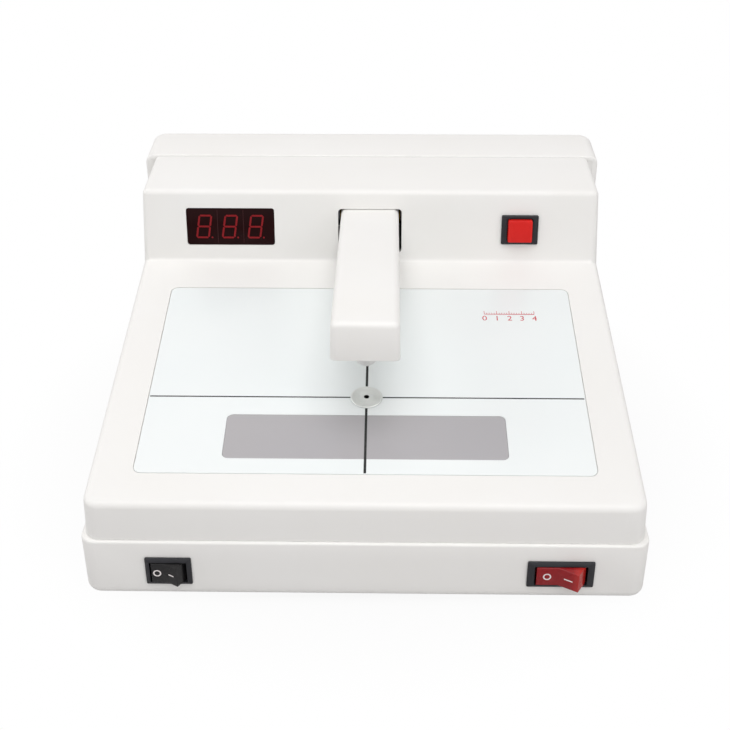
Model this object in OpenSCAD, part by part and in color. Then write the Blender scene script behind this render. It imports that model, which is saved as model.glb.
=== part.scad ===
// Film densitometer: a sloping measuring stage with a lit viewer window, a console with a
// display and a push button, two rockers in the front wall, and a sprung measuring arm that
// swings down until its nozzle meets the aperture disc on the stage.
// The front faces -Y, +Z is up, and the origin lies under the middle of the case, at the feet.

/* [Case] */
// Width of the base shell
base_w = 258; // [250:1:270]
// Depth of the base shell, front to back
case_d = 272; // [268:1:280]
// Height of the seam above the underside
seam_h = 31.8; // [30:0.1:34]
// Height of the deck's front edge above the underside
deck_front_h = 52.2; // [50:0.1:56]
// Slope of the deck, in degrees
deck_tilt = 8.7; // [8:0.1:9.5]
// Lean of the console's face, in degrees
console_lean = 8; // [6:0.5:9]
// Height of the console's face along its lean
face_h = 40.1; // [39:0.1:43]
// Depth of the rear part that belongs to the base shell
rear_d = 36.2; // [34:0.1:38]
// Depth of the console from its foot to the rear part
console_d = 52.5; // [51:0.5:56]
// Wall of both shells
wall = 3; // [2.5:0.1:3.4]
// Step in from the base shell's front to the top shell's
front_step = 1.6; // [1.2:0.1:2]
// Half width that the top shell loses at the seam
side_step = 2.1; // [1.8:0.1:2.4]
// Draft of the top shell's sides, in degrees
side_draft = 2.4; // [1:0.1:2.6]
// Height of the base shell's rear part above the top shell
rear_rise = 0.8; // [0.4:0.1:1.5]
// Shadow gap along the seam
seam_gap = 0.6; // [0.4:0.1:1]
// Radius of the upright corners
corner_r = 7; // [5:0.5:9]
// Radius of the deck's and the console's edges
edge_r = 3; // [1:0.5:3.5]
// Radius of the base shell's lower edges
lower_r = 5; // [3:0.5:5.5]

/* [Stage] */
// Width of the printed stage overlay
overlay_w = 211.5; // [190:0.5:216]
// Distance from the deck's front edge to the overlay
overlay_start = 20; // [18:0.5:24]
// Distance from the overlay to the console's foot
overlay_end = 25; // [20:0.5:32]
// Thickness of the overlay
overlay_t = 1; // [0.8:0.1:1.4]
// Width of the viewer window
window_w = 132.6; // [120:0.1:140]
// Length of the viewer window along the deck
window_l = 29.7; // [26:0.1:30]
// Distance from the deck's front edge to the viewer window
window_start = 29.6; // [28:0.1:31]
// Thickness of the viewer window
window_t = 2; // [1.5:0.1:2.2]
// Distance from the deck's front edge to the aperture
aperture_l = 71.9; // [71.5:0.1:76]
// Diameter of the aperture disc
disc_d = 15.3; // [12:0.1:16]
// Height of the disc above the overlay
disc_rise = 0.5; // [0.3:0.1:1]
// Diameter of the measuring aperture
aperture_d = 1.8; // [1:0.1:3]

/* [Arm] */
// Width of the arm
arm_w = 31.8; // [30:0.1:32.2]
// Height of the arm
arm_h = 18.9; // [18:0.1:19.5]
// Distance from the nozzle to the arm's front
arm_nose = 27.3; // [22:0.1:34]
// Rise of the raised arm towards its front, in degrees
arm_rise = 5.1; // [4:0.1:5.5]
// Swing from raised to the stage, in degrees
arm_travel = 8.8; // [8:0.1:9]
// Distance of the pivot behind the console's foot
pivot_back = 23.3; // [22:0.1:26]
// Height of the pivot above the console's foot
pivot_up = 18; // [17.5:0.1:18.6]
// Diameter of the pivot pin
pin_d = 5; // [4:0.1:6]
// Wall of the arm's cover
arm_wall = 2.2; // [1.8:0.1:2.5]
// Thickness of the arm's base plate
arm_base_t = 2; // [1.5:0.1:2.5]
// Radius of the arm's edges
arm_edge_r = 3; // [1:0.5:3]
// Width of the slot in the console for the arm
slot_w = 34.6; // [34:0.1:38]
// Diameter of the nozzle
nozzle_d = 10.6; // [9:0.1:11]
// Diameter of the nozzle's tip
tip_d = 5; // [3:0.1:6]
// Length of the nozzle's cone
cone_l = 2.4; // [2:0.1:6]
// Bore through the nozzle
nozzle_bore = 2.2; // [1.5:0.1:2.6]

/* [Display and button] */
// Width of the display window
display_w = 47.9; // [46:0.1:52]
// Height of the display window
display_h = 20.75; // [19.5:0.05:21.5]
// Thickness of the display window
display_t = 2; // [1.5:0.1:2.5]
// Distance from the case's left side to the middle of the display window
display_side = 52.95; // [49:0.05:58]
// Middle of the display window above the console's foot
display_up = 19.6; // [18:0.1:21]
// Digits in the display
digits = 3; // [2:1:3]
// Pitch of the digits
digit_pitch = 14.1; // [13.2:0.1:14.6]
// Width of the button's bezel
button_w = 19.9; // [18.5:0.1:22]
// Height of the button's bezel
button_h = 16.3; // [15.5:0.1:18]
// Distance from the case's right side to the middle of the button
button_side = 47.5; // [40:0.5:58]
// Middle of the button above the console's foot
button_up = 18.7; // [17:0.1:21]
// Width of the button's cap
cap_w = 12.9; // [11:0.1:13.5]
// Height of the button's cap
cap_h = 12; // [10:0.1:12.4]
// Height of the cap above its bezel
cap_rise = 3.2; // [2.8:0.1:4]
// Stroke of the button
button_stroke = 2.5; // [1.5:0.1:2.6]

/* [Rockers] */
// Width of the viewer rocker's bezel
viewer_switch_w = 21.2; // [20:0.1:24]
// Height of the viewer rocker's bezel
viewer_switch_h = 15.1; // [14:0.1:16]
// Width of the power rocker's bezel
power_switch_w = 30.5; // [28:0.1:32]
// Height of the power rocker's bezel
power_switch_h = 14.5; // [14:0.1:16]
// Distance from the case's sides to the middle of each rocker
switch_side = 39.65; // [37:0.05:45]
// Middle of the rockers above the underside
switch_up = 15.7; // [15:0.1:17]
// Height of the rockers' bezels above the wall
bezel_rise = 1.8; // [1.5:0.1:2.5]
// Rim of the rockers' bezels above and below the opening
bezel_rim = 1.9; // [1.8:0.1:2.4]
// Rim at the ends of the viewer rocker's bezel
viewer_rim = 2.1; // [1.8:0.1:2.6]
// Rim at the ends of the power rocker's bezel
power_rim = 3.2; // [2.4:0.1:3.6]
// Tilt of a rocker to either side, in degrees
rocker_tilt = 15; // [12:0.5:16]

/* [Rear and underside] */
// Height of the rubber feet below the case
foot_h = 3; // [2:0.5:5]
// Diameter of the rubber feet
foot_d = 15; // [12:0.5:18]
// Distance from the case's edges to the middle of a foot
foot_inset = 26; // [20:1:30]
// Distance from the case's right side to the middle of the mains inlet
inlet_side = 51; // [46:1:56]
// Middle of the mains inlet above the underside
inlet_up = 72; // [68:1:78]
// Diameter of the case screws
screw_d = 3.5; // [3:0.1:4]

/* [Hidden] */
$fn = 48;

// Clearances
fit = 0.1;          // a piece laid into its recess
loose = 0.3;        // a piece that moves past another
running = 0.05;     // a shaft in its bore, per side
eps = 0.01;         // how far a cut runs past the face that it opens
white = [0.93, 0.93, 0.92];
dark = [0.16, 0.16, 0.17];
steel = [0.62, 0.64, 0.66];
arc_steps = 6;

// Shared stock
pcb_t = 1.6;
small_screw_d = 2.5;
bracket_screw_d = 3;

// The case in side view
inlet_rise = 2;
rocker_reach = 3.2;
y_front = -(case_d + inlet_rise + rocker_reach) / 2 + rocker_reach;
y_rear = y_front + case_d;
y_wall = y_front + front_step;
y_seam = y_rear - rear_d;
z_under = foot_h;
z_seam = z_under + seam_h;
z_edge = z_under + deck_front_h;
foot_y = y_seam - console_d;
deck_len = (foot_y - y_wall) / cos(deck_tilt);
foot_z = z_edge + deck_len * sin(deck_tilt);
z_top = foot_z + face_h * cos(console_lean);
top_half = base_w / 2 - side_step;
display_x = display_side - base_w / 2;
button_x = base_w / 2 - button_side;
switch_x = base_w / 2 - switch_side;
inlet_x = base_w / 2 - inlet_side;

// The arm's pivot, and the disc as the pivot sees it in the deck's frame
pivot_y = foot_y + pivot_back;
pivot_z = foot_z + pivot_up;
pivot_along = (pivot_y - y_wall) * cos(deck_tilt) + (pivot_z - z_edge) * sin(deck_tilt)
    - aperture_l;
pivot_over = -(pivot_y - y_wall) * sin(deck_tilt) + (pivot_z - z_edge) * cos(deck_tilt);
arm_low = arm_travel - arm_rise;
arm_slant = deck_tilt - arm_low;
arm_reach = pivot_along / cos(arm_slant) + arm_nose;
tip_gap = 0.3;
nozzle_start = disc_rise + tip_gap;
nozzle_flange_d = nozzle_d + 4;
nozzle_flange_t = 2;
arm_under = pivot_over - arm_h / 2 / cos(arm_slant) + pivot_along * tan(arm_slant);
nozzle_len = arm_under + arm_base_t / cos(arm_slant) + nozzle_flange_d / 2 * tan(arm_slant)
    - nozzle_start + fit;

// ---------------------------------------------------------------- shared shapes

// The points of an outline with its corners rounded: p are corners, r their radii
function unit(v) = v / norm(v);
function round_corner(a, b, c, r) =
    let (u = unit(a - b), w = unit(c - b), half = acos(max(-1, min(1, u * w))) / 2,
         q = r / tan(half), m = b + unit(u + w) * (r / sin(half)),
         s = b + u * q - m, e = b + w * q - m,
         from = atan2(s[1], s[0]), turn = atan2(s[0] * e[1] - s[1] * e[0], s * e))
    [for (i = [0 : arc_steps]) m + r * [cos(from + turn * i / arc_steps),
                                       sin(from + turn * i / arc_steps)]];
function rounded(p, r) =
    let (n = len(p))
    [for (i = [0 : n - 1])
        each (r[i] > 0 ? round_corner(p[(i + n - 1) % n], p[i], p[(i + 1) % n], r[i])
                       : [p[i]])];
function box_points(w, h) = [[-w / 2, -h / 2], [w / 2, -h / 2], [w / 2, h / 2], [-w / 2, h / 2]];

// A slab w by h with rounded corners, from z = 0 up
module plate(w, h, t, r) {
    linear_extrude(t) polygon(rounded(box_points(w, h), [r, r, r, r]));
}

// A side outline (Y, Z) as a solid of width w about the case's middle
module across(w, points) {
    rotate([90, 0, 90]) linear_extrude(w, center = true) polygon(points);
}

// A ring or tube from z = 0 up
module tube(d, bore, h) {
    difference() {
        cylinder(d = d, h = h);
        translate([0, 0, -eps]) cylinder(d = bore, h = h + 2 * eps);
    }
}

// A pan-head screw: its head's underside at z = 0, the shank going down
module screw(d, length) {
    cylinder(d = 2 * d, h = 0.6 * d);
    translate([0, 0, -length]) cylinder(d = d, h = length + eps);
}

// Frames: X to the right, Y up the surface and Z out of it
module on_deck(x = 0, l = 0, n = 0) {
    translate([0, y_wall, z_edge]) rotate([deck_tilt, 0, 0]) translate([x, l, n]) children();
}
module on_face(x = 0, h = 0, n = 0) {
    translate([0, foot_y, foot_z]) rotate([90 - console_lean, 0, 0]) translate([x, h, n])
        children();
}
module on_front(x = 0, z = 0, n = 0) {
    translate([x, y_front - n, z_under + z]) rotate([90, 0, 0]) children();
}
module on_rear(x = 0, z = 0, n = 0) {
    translate([x, y_rear + n, z_under + z]) rotate([90, 0, 180]) children();
}
// The arm's frame: at the pivot, Y along the raised arm to the rear, Z up out of its top
module on_arm(y = 0, z = 0) {
    translate([0, pivot_y, pivot_z]) rotate([-arm_rise, 0, 0]) translate([0, y, z]) children();
}
// Raises what is drawn on the stage with the arm down
module raised() {
    translate([0, pivot_y, pivot_z]) rotate([-arm_travel, 0, 0])
        translate([0, -pivot_y, -pivot_z]) children();
}

// ---------------------------------------------------------------- shells

post_d = 9;
post_top = 22;
post_inset = 14;
post_front = 15.5;
post_back = 11;
post_x = base_w / 2 - post_inset;
post_front_y = y_front + post_front;
post_rear_y = foot_y - post_back;
screw_length = 18;
head_up = 10;
lip_h = 3;
lip_t = 1.6;
collar_t = 2.5;

module at_posts() {
    for (x = [-post_x, post_x], y = [post_front_y, post_rear_y]) translate([x, y, z_under])
        children();
}

// Solid form of the top shell, inset by i; the inset form runs out below and at the rear
module top_form(i = 0) {
    lean = tan(console_lean);
    slope = tan(deck_tilt);
    inner_y = i * (1 / cos(console_lean) - lean / cos(deck_tilt)) / (1 - slope * lean);
    inner_z = inner_y * slope - i / cos(deck_tilt);
    drop = z_top - i - foot_z;
    below = i > 0 ? lip_h + 2 : 0;
    beyond = i > 0 ? 2 : -seam_gap;
    outline = [[y_wall + i, z_seam + seam_gap - below],
        [y_seam + beyond, z_seam + seam_gap - below], [y_seam + beyond, z_top - i],
        [foot_y + drop * lean + i / cos(console_lean), z_top - i],
        [foot_y + inner_y, foot_z + inner_z], [y_wall + i, z_edge + i * slope - i / cos(deck_tilt)]];
    r = max(edge_r - i, 0);
    rise = z_top - z_seam;
    half = top_half - i / cos(side_draft);
    low = below * tan(side_draft);
    section = [[-half - low, z_seam - below], [half + low, z_seam - below],
        [half - (rise - i) * tan(side_draft), z_top - i],
        [-half + (rise - i) * tan(side_draft), z_top - i]];
    intersection() {
        across(base_w, rounded(outline, [0, 0, 0, r, edge_r / 2, r]));
        translate([0, y_rear, 0]) rotate([90, 0, 0])
            linear_extrude(case_d) polygon(rounded(section, [0, 0, r, r]));
        translate([0, y_wall + i + case_d / 2, 0])
            plate(2 * (half + low), case_d, z_top + 1, max(corner_r - i, 0.5));
    }
}

// Solid form of the base shell, inset by i; the inset form runs out through the rim
module base_form(i = 0) {
    z_rear = z_top + rear_rise;
    open = i > 0 ? 2 : 0;
    outline = [[y_front + i, z_under + i], [y_rear - i, z_under + i], [y_rear - i, z_rear - i],
        [y_seam - open, z_rear - i], [y_seam - open, z_seam + open], [y_front + i, z_seam + open]];
    r = max(lower_r - i, 0.5);
    rim = i > 0 ? 0 : 1;
    w = base_w - 2 * i;
    section = [[-w / 2, z_under + i], [w / 2, z_under + i], [w / 2, z_rear - i],
        [-w / 2, z_rear - i]];
    intersection() {
        across(base_w, rounded(outline, [r, r, r, rim, 0, rim]));
        translate([0, y_rear, 0]) rotate([90, 0, 0])
            linear_extrude(case_d) polygon(rounded(section, [r, r, r, r]));
        translate([0, (y_front + y_rear) / 2, 0])
            plate(w, case_d - 2 * i, z_rear + 1, max(corner_r - i, 0.5));
    }
}

fuse_beside = 42;
fuse_d = 12;
fuse_rim = 2;
fuse_l = 30;
fuse_tag = 6;
fuse_x = inlet_x - fuse_beside;
vent_w = 2.5;
vent_h = 24;
vent_l = 30;
vent_pitch = 7;
vents = 9;
vent_beside = 58;
vent_back = 66;
vent_front = 56;
vent_x = fuse_x - vent_beside;
board_pad_d = 6;
board_pad_h = 1;

module base_shell() {
    color(white) difference() {
        union() {
            difference() {
                base_form();
                base_form(wall);
            }
            // The collar behind the seam closes the step up to the top shell
            intersection() {
                base_form(eps);
                translate([-base_w / 2, y_seam, z_seam]) cube([base_w, collar_t, z_top]);
                difference() {
                    translate([-base_w, y_front, z_seam]) cube([2 * base_w, case_d, z_top]);
                    translate([0, collar_t + 1, 0]) top_form(wall);
                }
            }
            intersection() {
                base_form(wall / 2);
                union() {
                    at_posts() cylinder(d = post_d, h = post_top);
                    at_board_holes(0) cylinder(d = board_pad_d, h = wall + board_pad_h);
                }
            }
        }
        at_posts() {
            translate([0, 0, -eps]) cylinder(d = 2 * screw_d + 1, h = head_up + eps);
            cylinder(d = screw_d + 2 * fit, h = post_top + eps);
        }
        at_feet() translate([0, 0, -eps]) cylinder(d = foot_d + 2 * fit, h = foot_recess + eps);
        switch_hole(-switch_x, viewer_switch_w, viewer_switch_h);
        switch_hole(switch_x, power_switch_w, power_switch_h);
        on_rear(inlet_x, inlet_up, -wall - 1)
            plate(inlet_body_w + 2 * fit, inlet_body_h + 2 * fit, wall + 2, inlet_r);
        on_rear(inlet_x, inlet_up, -wall - 1) for (s = [-1, 1])
            translate([s * inlet_hole_x, 0, 0])
                cylinder(d = inlet_screw_d + 2 * fit, h = wall + 2);
        on_rear(fuse_x, inlet_up, -wall - 1) cylinder(d = fuse_d + 2 * fit, h = wall + 2);
        for (i = [0 : vents - 1]) translate([vent_x - i * vent_pitch, y_rear - wall - 1,
            z_under + inlet_up - vent_h / 2]) cube([vent_w, wall + 2, vent_h]);
        for (i = [0 : vents - 1], y = [y_rear - vent_back, y_front + vent_front])
            translate([vent_x - i * vent_pitch, y, z_under - 1])
                cube([vent_w, vent_l, wall + 2]);
    }
}

module switch_hole(x, w, h) {
    on_front(x, switch_up, -wall - 1)
        plate(w - 2 * housing_inset + 2 * fit, h - 2 * housing_inset + 2 * fit, wall + 2, 0.5);
}

module top_shell() {
    color(white) difference() {
        union() {
            difference() {
                top_form();
                top_form(wall);
            }
            // The lip that reaches into the base shell
            intersection() {
                difference() {
                    base_form(wall + 2 * fit);
                    translate([0, 0, -eps]) base_form(wall + 2 * fit + lip_t);
                }
                translate([-base_w / 2, y_front, z_seam - lip_h])
                    cube([base_w, case_d - rear_d - seam_gap, lip_h + seam_gap + 1]);
            }
            // Bosses over the base shell's posts, and those that carry the pivot bracket
            intersection() {
                top_form(wall / 2);
                at_posts() translate([0, 0, post_top]) cylinder(d = post_d, h = z_top);
            }
            at_bracket_screws() cylinder(d = bracket_boss_d, h = bracket_boss + wall / 2);
        }
        at_posts() cylinder(d = screw_d + fit, h = head_up + screw_length + 1);
        at_bracket_screws() translate([0, 0, -1])
            cylinder(d = bracket_screw_d + fit, h = bracket_boss + wall / 2 + 1);
        on_deck(0, overlay_start + overlay_l / 2, -overlay_t)
            plate(overlay_w + 2 * overlay_gap, overlay_l + 2 * overlay_gap, overlay_t + 1,
                overlay_r + overlay_gap);
        on_deck(0, window_start + window_l / 2, -window_t - fit)
            plate(window_w, window_l, window_t + 1, window_r);
        on_deck(0, window_start + window_l / 2, -wall - 1)
            plate(window_w - 2 * ledge, window_l - 2 * ledge, wall + 2, window_r);
        on_deck(0, aperture_l, -wall - 1) cylinder(d = neck_d + 2 * fit, h = wall + 2);
        on_face(0, slot_low + slot_h / 2, -wall - 1)
            plate(slot_w, slot_h, wall + 2, slot_r);
        on_face(display_x, display_up, -display_t - fit)
            plate(display_w + 2 * fit, display_h + 2 * fit, display_t + 1, display_r);
        on_face(display_x, display_up, -wall - 1)
            plate(display_w - 2 * display_ledge, display_h - 2 * display_ledge, wall + 2, 1);
        on_face(button_x, button_up, -wall - 1)
            plate(button_body_w + 2 * fit, button_body_h + 2 * fit, wall + 2, 0.5);
    }
}
slot_air = 2;
slot_r = 2;
slot_low = pivot_up - arm_h / 2 / cos(arm_low) - pivot_back * tan(arm_low) - slot_air;
slot_top = (pivot_up + arm_h / 2 / cos(arm_rise) + pivot_back * tan(arm_rise)) / cos(console_lean);
slot_h = slot_top - slot_low;
display_ledge = 1;
display_r = 1.5;

// ---------------------------------------------------------------- stage

overlay_l = deck_len - overlay_start - overlay_end;
overlay_gap = 0.4;
overlay_r = 3.5;
window_r = 3;
ledge = 3;
neck_d = 8;
neck_rim = 1;

module stage_overlay() {
    color([0.93, 0.95, 0.95]) difference() {
        on_deck(0, overlay_start + overlay_l / 2, -overlay_t)
            plate(overlay_w, overlay_l, overlay_t, overlay_r);
        on_deck(0, window_start + window_l / 2, -overlay_t - 1)
            plate(window_w, window_l, overlay_t + 2, window_r);
        on_deck(0, aperture_l, -overlay_t - 1) cylinder(d = disc_d + 2 * fit, h = overlay_t + 2);
    }
}

module viewer_window() {
    color([0.74, 0.74, 0.75]) on_deck(0, window_start + window_l / 2, -window_t - fit)
        plate(window_w - 2 * fit, window_l - 2 * fit, window_t + fit, window_r - fit);
}

module aperture_disc() {
    color([0.72, 0.72, 0.73]) on_deck(0, aperture_l) difference() {
        union() {
            translate([0, 0, -overlay_t]) cylinder(d = disc_d, h = overlay_t + disc_rise);
            translate([0, 0, -wall]) cylinder(d = neck_d, h = wall);
        }
        translate([0, 0, -wall - 1]) cylinder(d = aperture_d, h = wall + disc_rise + 2);
        translate([0, 0, -wall - eps])
            cylinder(d1 = neck_d - 2 * neck_rim, d2 = aperture_d, h = wall);
    }
}

// The viewer's light: a white tray under the deck with a short fluorescent tube across it
tray_over_w = 5;
tray_over_l = 1.5;
tray_w = window_w + 2 * tray_over_w;
tray_l = window_l + 2 * tray_over_l;
tray_h = 24;
tray_t = 1.2;
tube_d = 15.5;
tube_short = 2;
tube_len = window_w - 2 * tube_short;
tube_pin_d = 2;
tube_pin_l = 3;
tube_pin_x = 2.5;
holder_t = 4;

module in_tray(n = 0) {
    on_deck(0, window_start + window_l / 2, -wall - n) children();
}

module viewer_reflector() {
    color("white") in_tray(tray_h) difference() {
        translate([-tray_w / 2, -tray_l / 2, 0]) cube([tray_w, tray_l, tray_h]);
        translate([-tray_w / 2 + tray_t, -tray_l / 2 + tray_t, tray_t])
            cube([tray_w - 2 * tray_t, tray_l - 2 * tray_t, tray_h]);
    }
}

module viewer_tube() {
    color([0.95, 0.95, 0.97]) in_tray(tray_h / 2) rotate([0, 90, 0]) {
        cylinder(d = tube_d, h = tube_len, center = true);
        for (s = [-1, 1], y = [-tube_pin_x, tube_pin_x])
            translate([0, y, s * tube_len / 2])
                cylinder(d = tube_pin_d, h = 2 * tube_pin_l, center = true);
    }
}

module tube_holders() {
    color(white) in_tray(tray_h / 2) for (s = [-1, 1]) difference() {
        translate([s * (tray_w / 2 - tray_t - holder_t / 2), 0,
            (tray_t - tray_h / 2 + tube_d / 2) / 2])
            cube([holder_t, tray_l - 2 * tray_t, tray_h / 2 - tray_t + tube_d / 2],
                center = true);
        rotate([0, 90, 0]) for (y = [-tube_pin_x, tube_pin_x]) translate([0, y, 0])
            cylinder(d = tube_pin_d + 2 * fit, h = tube_len + 2 * (tube_pin_l + fit),
                center = true);
    }
}

// The tube's ballast on the floor: a flanged foot under a potted block
ballast_side = 44;
ballast_front = 66;
ballast_w = 30;
ballast_l = 26;
ballast_h = 18;
ballast_foot = [40, 28, 1.2];

module viewer_ballast() {
    color(dark) translate([-base_w / 2 + ballast_side, y_front + ballast_front, z_under + wall]) {
        translate([-ballast_foot[0] / 2, -ballast_foot[1] / 2, 0]) cube(ballast_foot);
        translate([-ballast_w / 2, -ballast_l / 2, ballast_foot[2]])
            cube([ballast_w, ballast_l, ballast_h]);
    }
}

// The measuring light below the aperture
lamp_d = 17;
lamp_len = 34;
lamp_wall = 1.5;
lamp_floor = 2;
lamp_head = 4;
lens_t = 3;
lens_r = 14;
bulb_l = 14;
bulb_cap_l = 4;

module lamp_housing() {
    color(dark) on_deck(0, aperture_l, -wall) difference() {
        translate([0, 0, -lamp_len]) cylinder(d = lamp_d, h = lamp_len);
        translate([0, 0, -lamp_len + lamp_floor])
            cylinder(d = lamp_d - 2 * lamp_wall, h = lamp_len - lamp_floor - lamp_head);
        translate([0, 0, -lamp_len]) cylinder(d = neck_d, h = lamp_len + 1);
    }
}

module condenser_lens() {
    color([0.8, 0.9, 0.95]) on_deck(0, aperture_l, -wall - lamp_head - lens_t) intersection() {
        cylinder(d = lamp_d - 2 * lamp_wall - 2 * fit, h = lens_t);
        translate([0, 0, lens_t - lens_r]) sphere(r = lens_r);
    }
}

module measuring_lamp() {
    color([0.95, 0.9, 0.7]) on_deck(0, aperture_l, -wall - lamp_len) {
        translate([0, 0, -bulb_cap_l]) cylinder(d = neck_d + 2 * lamp_wall, h = bulb_cap_l);
        translate([0, 0, -eps]) cylinder(d = neck_d - 2 * fit, h = bulb_l);
        translate([0, 0, bulb_l]) sphere(d = neck_d - 2 * fit);
    }
}

// ---------------------------------------------------------------- display

digit_body_w = 12.4;
digit_body_h = 18;
digit_body_t = 8;
display_air = 0.4;
display_board_w = display_w + 12;
display_board_h = display_h + 4;
spacer_x = display_w / 2 + 3;
spacer_d = 5;

module display_window() {
    color([0.12, 0.03, 0.04]) on_face(display_x, display_up, -display_t - fit)
        plate(display_w, display_h, display_t + fit, display_r);
}

module display_digits() {
    color([0.35, 0.06, 0.08]) for (i = [0 : digits - 1])
        on_face(display_x + (i - (digits - 1) / 2) * digit_pitch, display_up,
            -display_t - fit - display_air - digit_body_t)
        translate([-digit_body_w / 2, -digit_body_h / 2, 0])
            cube([digit_body_w, digit_body_h, digit_body_t]);
}

module display_board() {
    board_n = -display_t - fit - display_air - digit_body_t - pcb_t;
    color([0.1, 0.35, 0.2]) difference() {
        union() {
            on_face(display_x, display_up, board_n)
                plate(display_board_w, display_board_h, pcb_t, 1);
            // Spacers that hold the board behind the console's face
            for (s = [-1, 1]) on_face(display_x + s * spacer_x, display_up, board_n + pcb_t)
                cylinder(d = spacer_d, h = -board_n - pcb_t - wall);
        }
        for (s = [-1, 1]) on_face(display_x + s * spacer_x, display_up, board_n - 1)
            cylinder(d = small_screw_d, h = -board_n - wall);
    }
}

// ---------------------------------------------------------------- button

bezel_r = 1;
button_rise = 1.5;
button_depth = 20;
button_floor = 1.5;
button_head = 4;
button_body_w = button_w - 2.4;
button_body_h = button_h - 1.4;
button_top = button_rise + cap_rise;
cap_r = 0.8;
cap_flange = 0.7;
cap_flange_t = 2.7;
cap_back = -button_head - loose - cap_flange_t;
cap_stop = cap_back - button_stroke - loose;
cap_bore = 5;
button_spring_d = 7;
button_spring_wire = 0.7;

module button_housing() {
    color(dark) on_face(button_x, button_up) difference() {
        union() {
            plate(button_w, button_h, button_rise, bezel_r);
            translate([0, 0, -button_depth]) plate(button_body_w, button_body_h,
                button_depth + eps, 0.4);
        }
        translate([0, 0, -button_head])
            plate(cap_w + 2 * loose, cap_h + 2 * loose, button_head + button_rise + 1, cap_r);
        // The cap's flange runs between the head and the stop
        translate([0, 0, cap_stop])
            plate(cap_w + 2 * cap_flange + 2 * loose, cap_h + 2 * cap_flange + 2 * loose,
                -cap_stop - button_head + eps, cap_r);
        translate([0, 0, -button_depth + button_floor])
            cylinder(d = button_spring_d + 2 * loose, h = button_depth - button_floor - 1);
    }
}

module button_cap() {
    color([0.85, 0.15, 0.13]) on_face(button_x, button_up) difference() {
        union() {
            translate([0, 0, cap_back]) plate(cap_w, cap_h, button_top - cap_back, cap_r);
            translate([0, 0, cap_back])
                plate(cap_w + 2 * cap_flange, cap_h + 2 * cap_flange, cap_flange_t, cap_r);
        }
        translate([0, 0, cap_back - eps]) cylinder(d = button_spring_d + 2 * loose, h = cap_bore);
    }
}

module button_spring() {
    color(steel) on_face(button_x, button_up, -button_depth + button_floor)
        tube(button_spring_d, button_spring_d - 2 * button_spring_wire,
            button_depth - button_floor + cap_back + cap_bore - 2 * eps);
}

// ---------------------------------------------------------------- rockers

housing_inset = 0.7;
rocker_depth = 3;
rocker_mid = 4.9;
rocker_lean = 17;
rocker_under = 1.5;
trunnion_d = 3;
trunnion_l = 0.9;
housing_depth = 22;
terminal_l = 7;
terminal_w = 6;
terminal_t = 0.8;
neon_d = 5;
neon_l = 8;
pivot_n = -2.5;

function rocker_h(h) = h - 2 * bezel_rim - 2 * loose;

// Half width of the rocker at its pivot, and of its face up to the ridges
function rocker_base(w, rim) = w / 2 - rim - loose;
function rocker_half(w, rim) = (rocker_base(w, rim) - rocker_mid * tan(rocker_lean))
    / (1 + tan(rocker_lean) * tan(rocker_tilt));

// A rocker tipped to the left, about its pivot; its two halves meet in a shallow V, so that
// the pressed half lies level, and its ends lean inwards
module rocker(w, h, rim) {
    base = rocker_base(w, rim);
    half = rocker_half(w, rim);
    ridge = rocker_mid + half * tan(rocker_tilt);
    translate([0, 0, pivot_n]) rotate([0, -rocker_tilt, 0]) rotate([90, 0, 0]) {
        linear_extrude(rocker_h(h), center = true)
            polygon([[rocker_under - base, -rocker_depth], [base - rocker_under, -rocker_depth],
                [base, 0], [half, ridge], [0, rocker_mid], [-half, ridge], [-base, 0]]);
        cylinder(d = trunnion_d, h = rocker_h(h) + 2 * (loose + trunnion_l), center = true);
    }
}

// How deep the rocker's lower corner swings below its pivot, with its clearance
function sweep(w, rim) = (rocker_base(w, rim) - rocker_under) * sin(rocker_tilt)
    + rocker_depth * cos(rocker_tilt) + 2 * loose;

module switch_housing(w, h, rim) {
    open_w = w - 2 * rim;
    open_h = rocker_h(h) + 2 * loose;
    difference() {
        union() {
            plate(w, h, bezel_rise, bezel_r);
            translate([0, 0, -housing_depth])
                plate(w - 2 * housing_inset, h - 2 * housing_inset, housing_depth + eps, 0.4);
            for (x = [-1, 0, 1])
                translate([x * w / 4 - terminal_t / 2, -terminal_w / 2, -housing_depth - terminal_l])
                    cube([terminal_t, terminal_w, terminal_l + 1]);
        }
        translate([-open_w / 2, -open_h / 2, pivot_n - sweep(w, rim)])
            cube([open_w, open_h, 2 * housing_depth]);
        translate([0, 0, pivot_n]) rotate([90, 0, 0])
            cylinder(d = trunnion_d + 2 * running, h = h - 2 * housing_inset - 2 * fit,
                center = true);
    }
}

module viewer_switch_housing() {
    color(dark) on_front(-switch_x, switch_up)
        switch_housing(viewer_switch_w, viewer_switch_h, viewer_rim);
}
module viewer_rocker() {
    color(dark) on_front(-switch_x, switch_up)
        rocker(viewer_switch_w, viewer_switch_h, viewer_rim);
}
neon_n = pivot_n - sweep(power_switch_w, power_rim) - neon_l;
module power_switch_housing() {
    color(dark) on_front(switch_x, switch_up) difference() {
        switch_housing(power_switch_w, power_switch_h, power_rim);
        translate([0, 0, neon_n]) cylinder(d = neon_d, h = neon_l + 1);
    }
}
module power_neon() {
    color([0.9, 0.6, 0.4]) on_front(switch_x, switch_up) translate([0, 0, neon_n])
        cylinder(d = neon_d - 2 * fit, h = neon_l);
}
module power_rocker() {
    color([0.6, 0.1, 0.12]) on_front(switch_x, switch_up)
        rocker(power_switch_w, power_switch_h, power_rim);
}

// ---------------------------------------------------------------- measuring arm

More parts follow.
